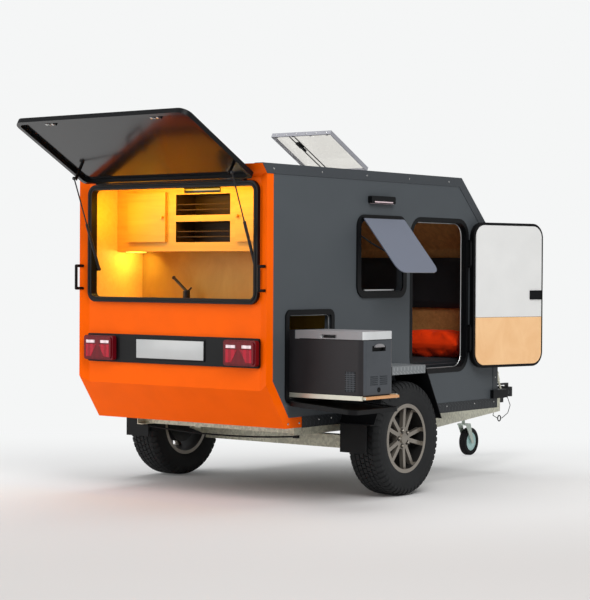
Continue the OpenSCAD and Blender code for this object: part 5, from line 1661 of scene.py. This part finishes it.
@dataclass
class Drawbar:
    """Coupling, brake lever, jockey wheel and breakaway cable."""

    def dress(self) -> None:
        """Gives the drawbar's fittings their finishes."""
        dress("overrun_housing", (COATED, RUBBER), lambda c, n: 1 if c.x > road(2611.0, 0.0, 0.0).x else 0)
        dress_plain({"coupling_head": COATED, "handbrake_lever": PLATED, "breakaway_cable": RUBBER})
        dress_plain({"jockey_clamp": ZINC, "jockey_fork": JOCKEY})
        low, high = box("jockey_wheel")
        hub = (low + high) / 2.0
        dress(
            "jockey_wheel",
            (RUBBER, HUB_TEAL),
            lambda c, n: 1 if math.hypot(c.x - hub.x, c.z - hub.z) < 0.067 else 0,
        )


@dataclass
class Studio:
    """Floor, light and camera."""

    eye: Point = (-11.848, -7.117, 0.891)
    yaw_deg: float = 38.248
    pitch: float = -0.0138
    roll: float = 0.0052
    focal_px: float = 1840.12
    centre_px: Tuple[float, float] = (273.48, 296.14)
    image_px: Tuple[float, float] = (590.0, 600.0)
    backdrop: str = "#F5F6F6"
    # The paper's colour runs from darker near the camera to paler further off: a painted fall-off of light.
    paper: str = "#BDBAB8"
    far_paper_painted_light: str = "#E6E5E4"
    painted_light_m: Tuple[float, float] = (8.0, 12.5)
    fade_m: Tuple[float, float] = (11.5, 15.0)
    round_m: Tuple[float, float] = (5.0, 9.0)
    sky: Tuple[str, float] = ("#F2F4F6", 0.54)
    # Name, place and aim in metres, width in metres and power in watts.
    lamps: Tuple[Tuple[str, Point, Point, float, float], ...] = (
        ("key_light", (-7.0, -6.5, 6.5), (-2.8, 0.0, 0.4), 5.0, 540.0),
        ("fill_light", (-9.5, 4.0, 2.4), (-3.0, 0.0, 0.2), 5.0, 230.0),
        ("top_light", (-2.5, 0.5, 8.0), (-2.5, 0.0, 0.0), 6.0, 335.0),
    )
    # Name, place and aim in the drawing frame, width, power, colour and height.
    galley_lamps: Tuple[Tuple[str, Point, Point, float, float, str, float], ...] = (
        ("galley_lamp", (-1000.0, 0.0, 1800.0), (-640.0, 0.0, 1560.0), 1.1, 4.4, "#FFC40C", 0.06),
        ("wash_lamp", (-985.0, 480.0, 1700.0), (-900.0, 685.0, 1500.0), 0.12, 0.7, "#FFC40C", 0.12),
        ("wall_lamp", (-690.0, 560.0, 1438.0), (-690.0, 685.0, 1230.0), 0.16, 0.7, "#FFE27A", 0.04),
    )

    def camera(self) -> None:
        """Sets the camera at the photograph's viewpoint."""
        yaw = math.radians(self.yaw_deg)
        ahead = polar(math.cos(self.pitch), yaw, math.sin(self.pitch))
        right = Vector((math.sin(yaw), -math.cos(yaw), 0.0))
        above = right.cross(ahead)
        side = right * math.cos(self.roll) + above * math.sin(self.roll)
        top = above * math.cos(self.roll) - right * math.sin(self.roll)
        data = bpy.data.cameras.new("photo_camera")
        data.sensor_width = 36.0
        longest = max(self.image_px)
        data.lens = self.focal_px * 36.0 / longest
        data.shift_x = (self.image_px[0] / 2.0 - self.centre_px[0]) / longest
        data.shift_y = (self.centre_px[1] - self.image_px[1] / 2.0) / longest
        data.clip_end = 200.0
        made = bpy.data.objects.new("photo_camera", data)
        bpy.context.scene.collection.objects.link(made)
        turn = Matrix((side, top, -ahead)).transposed().to_4x4()
        made.matrix_world = Matrix.Translation(Vector(self.eye)) @ turn
        bpy.context.scene.camera = made

    def ahead(self) -> Vector:
        """Gives the direction that the camera looks in over the floor.

        Returns:
            A level unit vector.
        """
        return polar(1.0, math.radians(self.yaw_deg), 0.0)

    def floor(self) -> None:
        """Lays the pale floor under the wheels, which turns into the backdrop behind the object."""
        z = -BALL_HEIGHT_MM / 1000.0 - 0.0005
        mesh = bpy.data.meshes.new("studio_floor")
        mesh.from_pydata([(-60, -60, z), (60, -60, z), (60, 60, z), (-60, 60, z)], [], [(0, 1, 2, 3)])
        made = bpy.data.objects.new("studio_floor", mesh)
        bpy.context.scene.collection.objects.link(made)
        sheet = bpy.data.materials.new("studio_paper")
        sheet.use_nodes = True
        tree = sheet.node_tree
        shader = tree.nodes["Principled BSDF"]
        shader.inputs["Roughness"].default_value = 0.9
        shader.inputs["Specular IOR Level"].default_value = 0.1
        where = add_node(tree, "ShaderNodeNewGeometry").outputs["Position"]
        depth = {"operation": "DOT_PRODUCT", 1: self.ahead()}
        along = add_node(tree, "ShaderNodeVectorMath", depth, {0: where})
        start = self.ahead().dot(Vector(self.eye))
        pale, fade = (
            remap(tree, along.outputs["Value"], (start + span[0], start + span[1]), curve="SMOOTHSTEP")
            for span in (self.painted_light_m, self.fade_m)
        )
        # Painted light: the paper is darker near the camera and paler further off.
        tone = add_node(tree, "ShaderNodeValToRGB", None, {"Fac": pale})
        tone.color_ramp.elements[0].color = linear(self.paper)
        tone.color_ramp.elements[1].color = linear(self.far_paper_painted_light)
        tree.links.new(tone.outputs["Color"], shader.inputs["Base Color"])
        middle = road((REAR_MM + FRONT_MM) / 2.0, 0.0, 0.0)
        away = add_node(tree, "ShaderNodeVectorMath", {"operation": "DISTANCE", 1: middle}, {0: where})
        round_fade = remap(tree, away.outputs["Value"], self.round_m, curve="SMOOTHSTEP")
        glow = add_node(tree, "ShaderNodeEmission", {"Color": linear(self.backdrop), "Strength": 1.0})
        seen = add_node(tree, "ShaderNodeLightPath").outputs["Is Camera Ray"]
        share = maths(tree, "MULTIPLY", maths(tree, "MAXIMUM", fade, round_fade), seen)
        ends = {0: share, 1: shader.outputs[0], 2: glow.outputs[0]}
        mix = add_node(tree, "ShaderNodeMixShader", None, ends)
        tree.links.new(mix.outputs[0], tree.nodes["Material Output"].inputs[0])
        mesh.materials.append(sheet)

    def light(self) -> None:
        """Lights the object with an even sky and soft boxes, and its galley with its own warm lamps."""
        scene = bpy.context.scene
        scene.view_settings.view_transform = "Standard"
        world = bpy.data.worlds.new("studio_world")
        scene.world = world
        world.use_nodes = True
        tree = world.node_tree
        tree.nodes.clear()
        seen = add_node(tree, "ShaderNodeLightPath").outputs
        near = maths(tree, "MAXIMUM", seen["Is Camera Ray"], seen["Is Transmission Ray"])
        tone, strength = self.sky
        sky = add_node(tree, "ShaderNodeBackground", {"Color": linear(tone), "Strength": strength})
        paper = add_node(tree, "ShaderNodeBackground", {"Color": linear(self.backdrop), "Strength": 1.0})
        mix = add_node(tree, "ShaderNodeMixShader", None, {0: near, 1: sky.outputs[0], 2: paper.outputs[0]})
        add_node(tree, "ShaderNodeOutputWorld", None, {0: mix.outputs[0]})
        for lamp in self.lamps:
            self.soft_box(*lamp)
        for name, at, to, size, power, tone, slim in self.galley_lamps:
            self.soft_box(name, tuple(road(*at)), tuple(road(*to)), size, power, tone, slim)

    def soft_box(
        self,
        name: str,
        at: Point,
        to: Point,
        size: float,
        power: float,
        tone: str = "#FFFFFF",
        slim: float = 0.0,
    ) -> None:
        """Hangs a soft box.

        Args:
            name: Name of the lamp.
            at: Place of the lamp.
            to: Point that it faces.
            size: Width in metres.
            power: Watts.
            tone: Colour of the light.
            slim: Height in metres of a strip; 0 for a square.
        """
        data = bpy.data.lights.new(name, "AREA")
        data.shape = "RECTANGLE"
        data.color = linear(tone)[:3]
        data.size, data.size_y = size, slim or size
        data.energy = power
        made = bpy.data.objects.new(name, data)
        bpy.context.scene.collection.objects.link(made)
        place = Vector(at)
        aim = (Vector(to) - place).to_track_quat("-Z", "Y").to_matrix().to_4x4()
        made.matrix_world = Matrix.Translation(place) @ aim


def main() -> None:
    """Builds and dresses the trailer."""
    logging.basicConfig(level=logging.INFO, format="%(name)s: %(message)s")
    studio = Studio()
    studio.camera()
    studio.floor()
    studio.light()
    for part in (Body(), RearHatch(), Openings(), Galley(), Berth(), Roof(), RunningGear()):
        part.dress()
        part.build()
    Drawbar().dress()


if __name__ == "__main__":
    main()
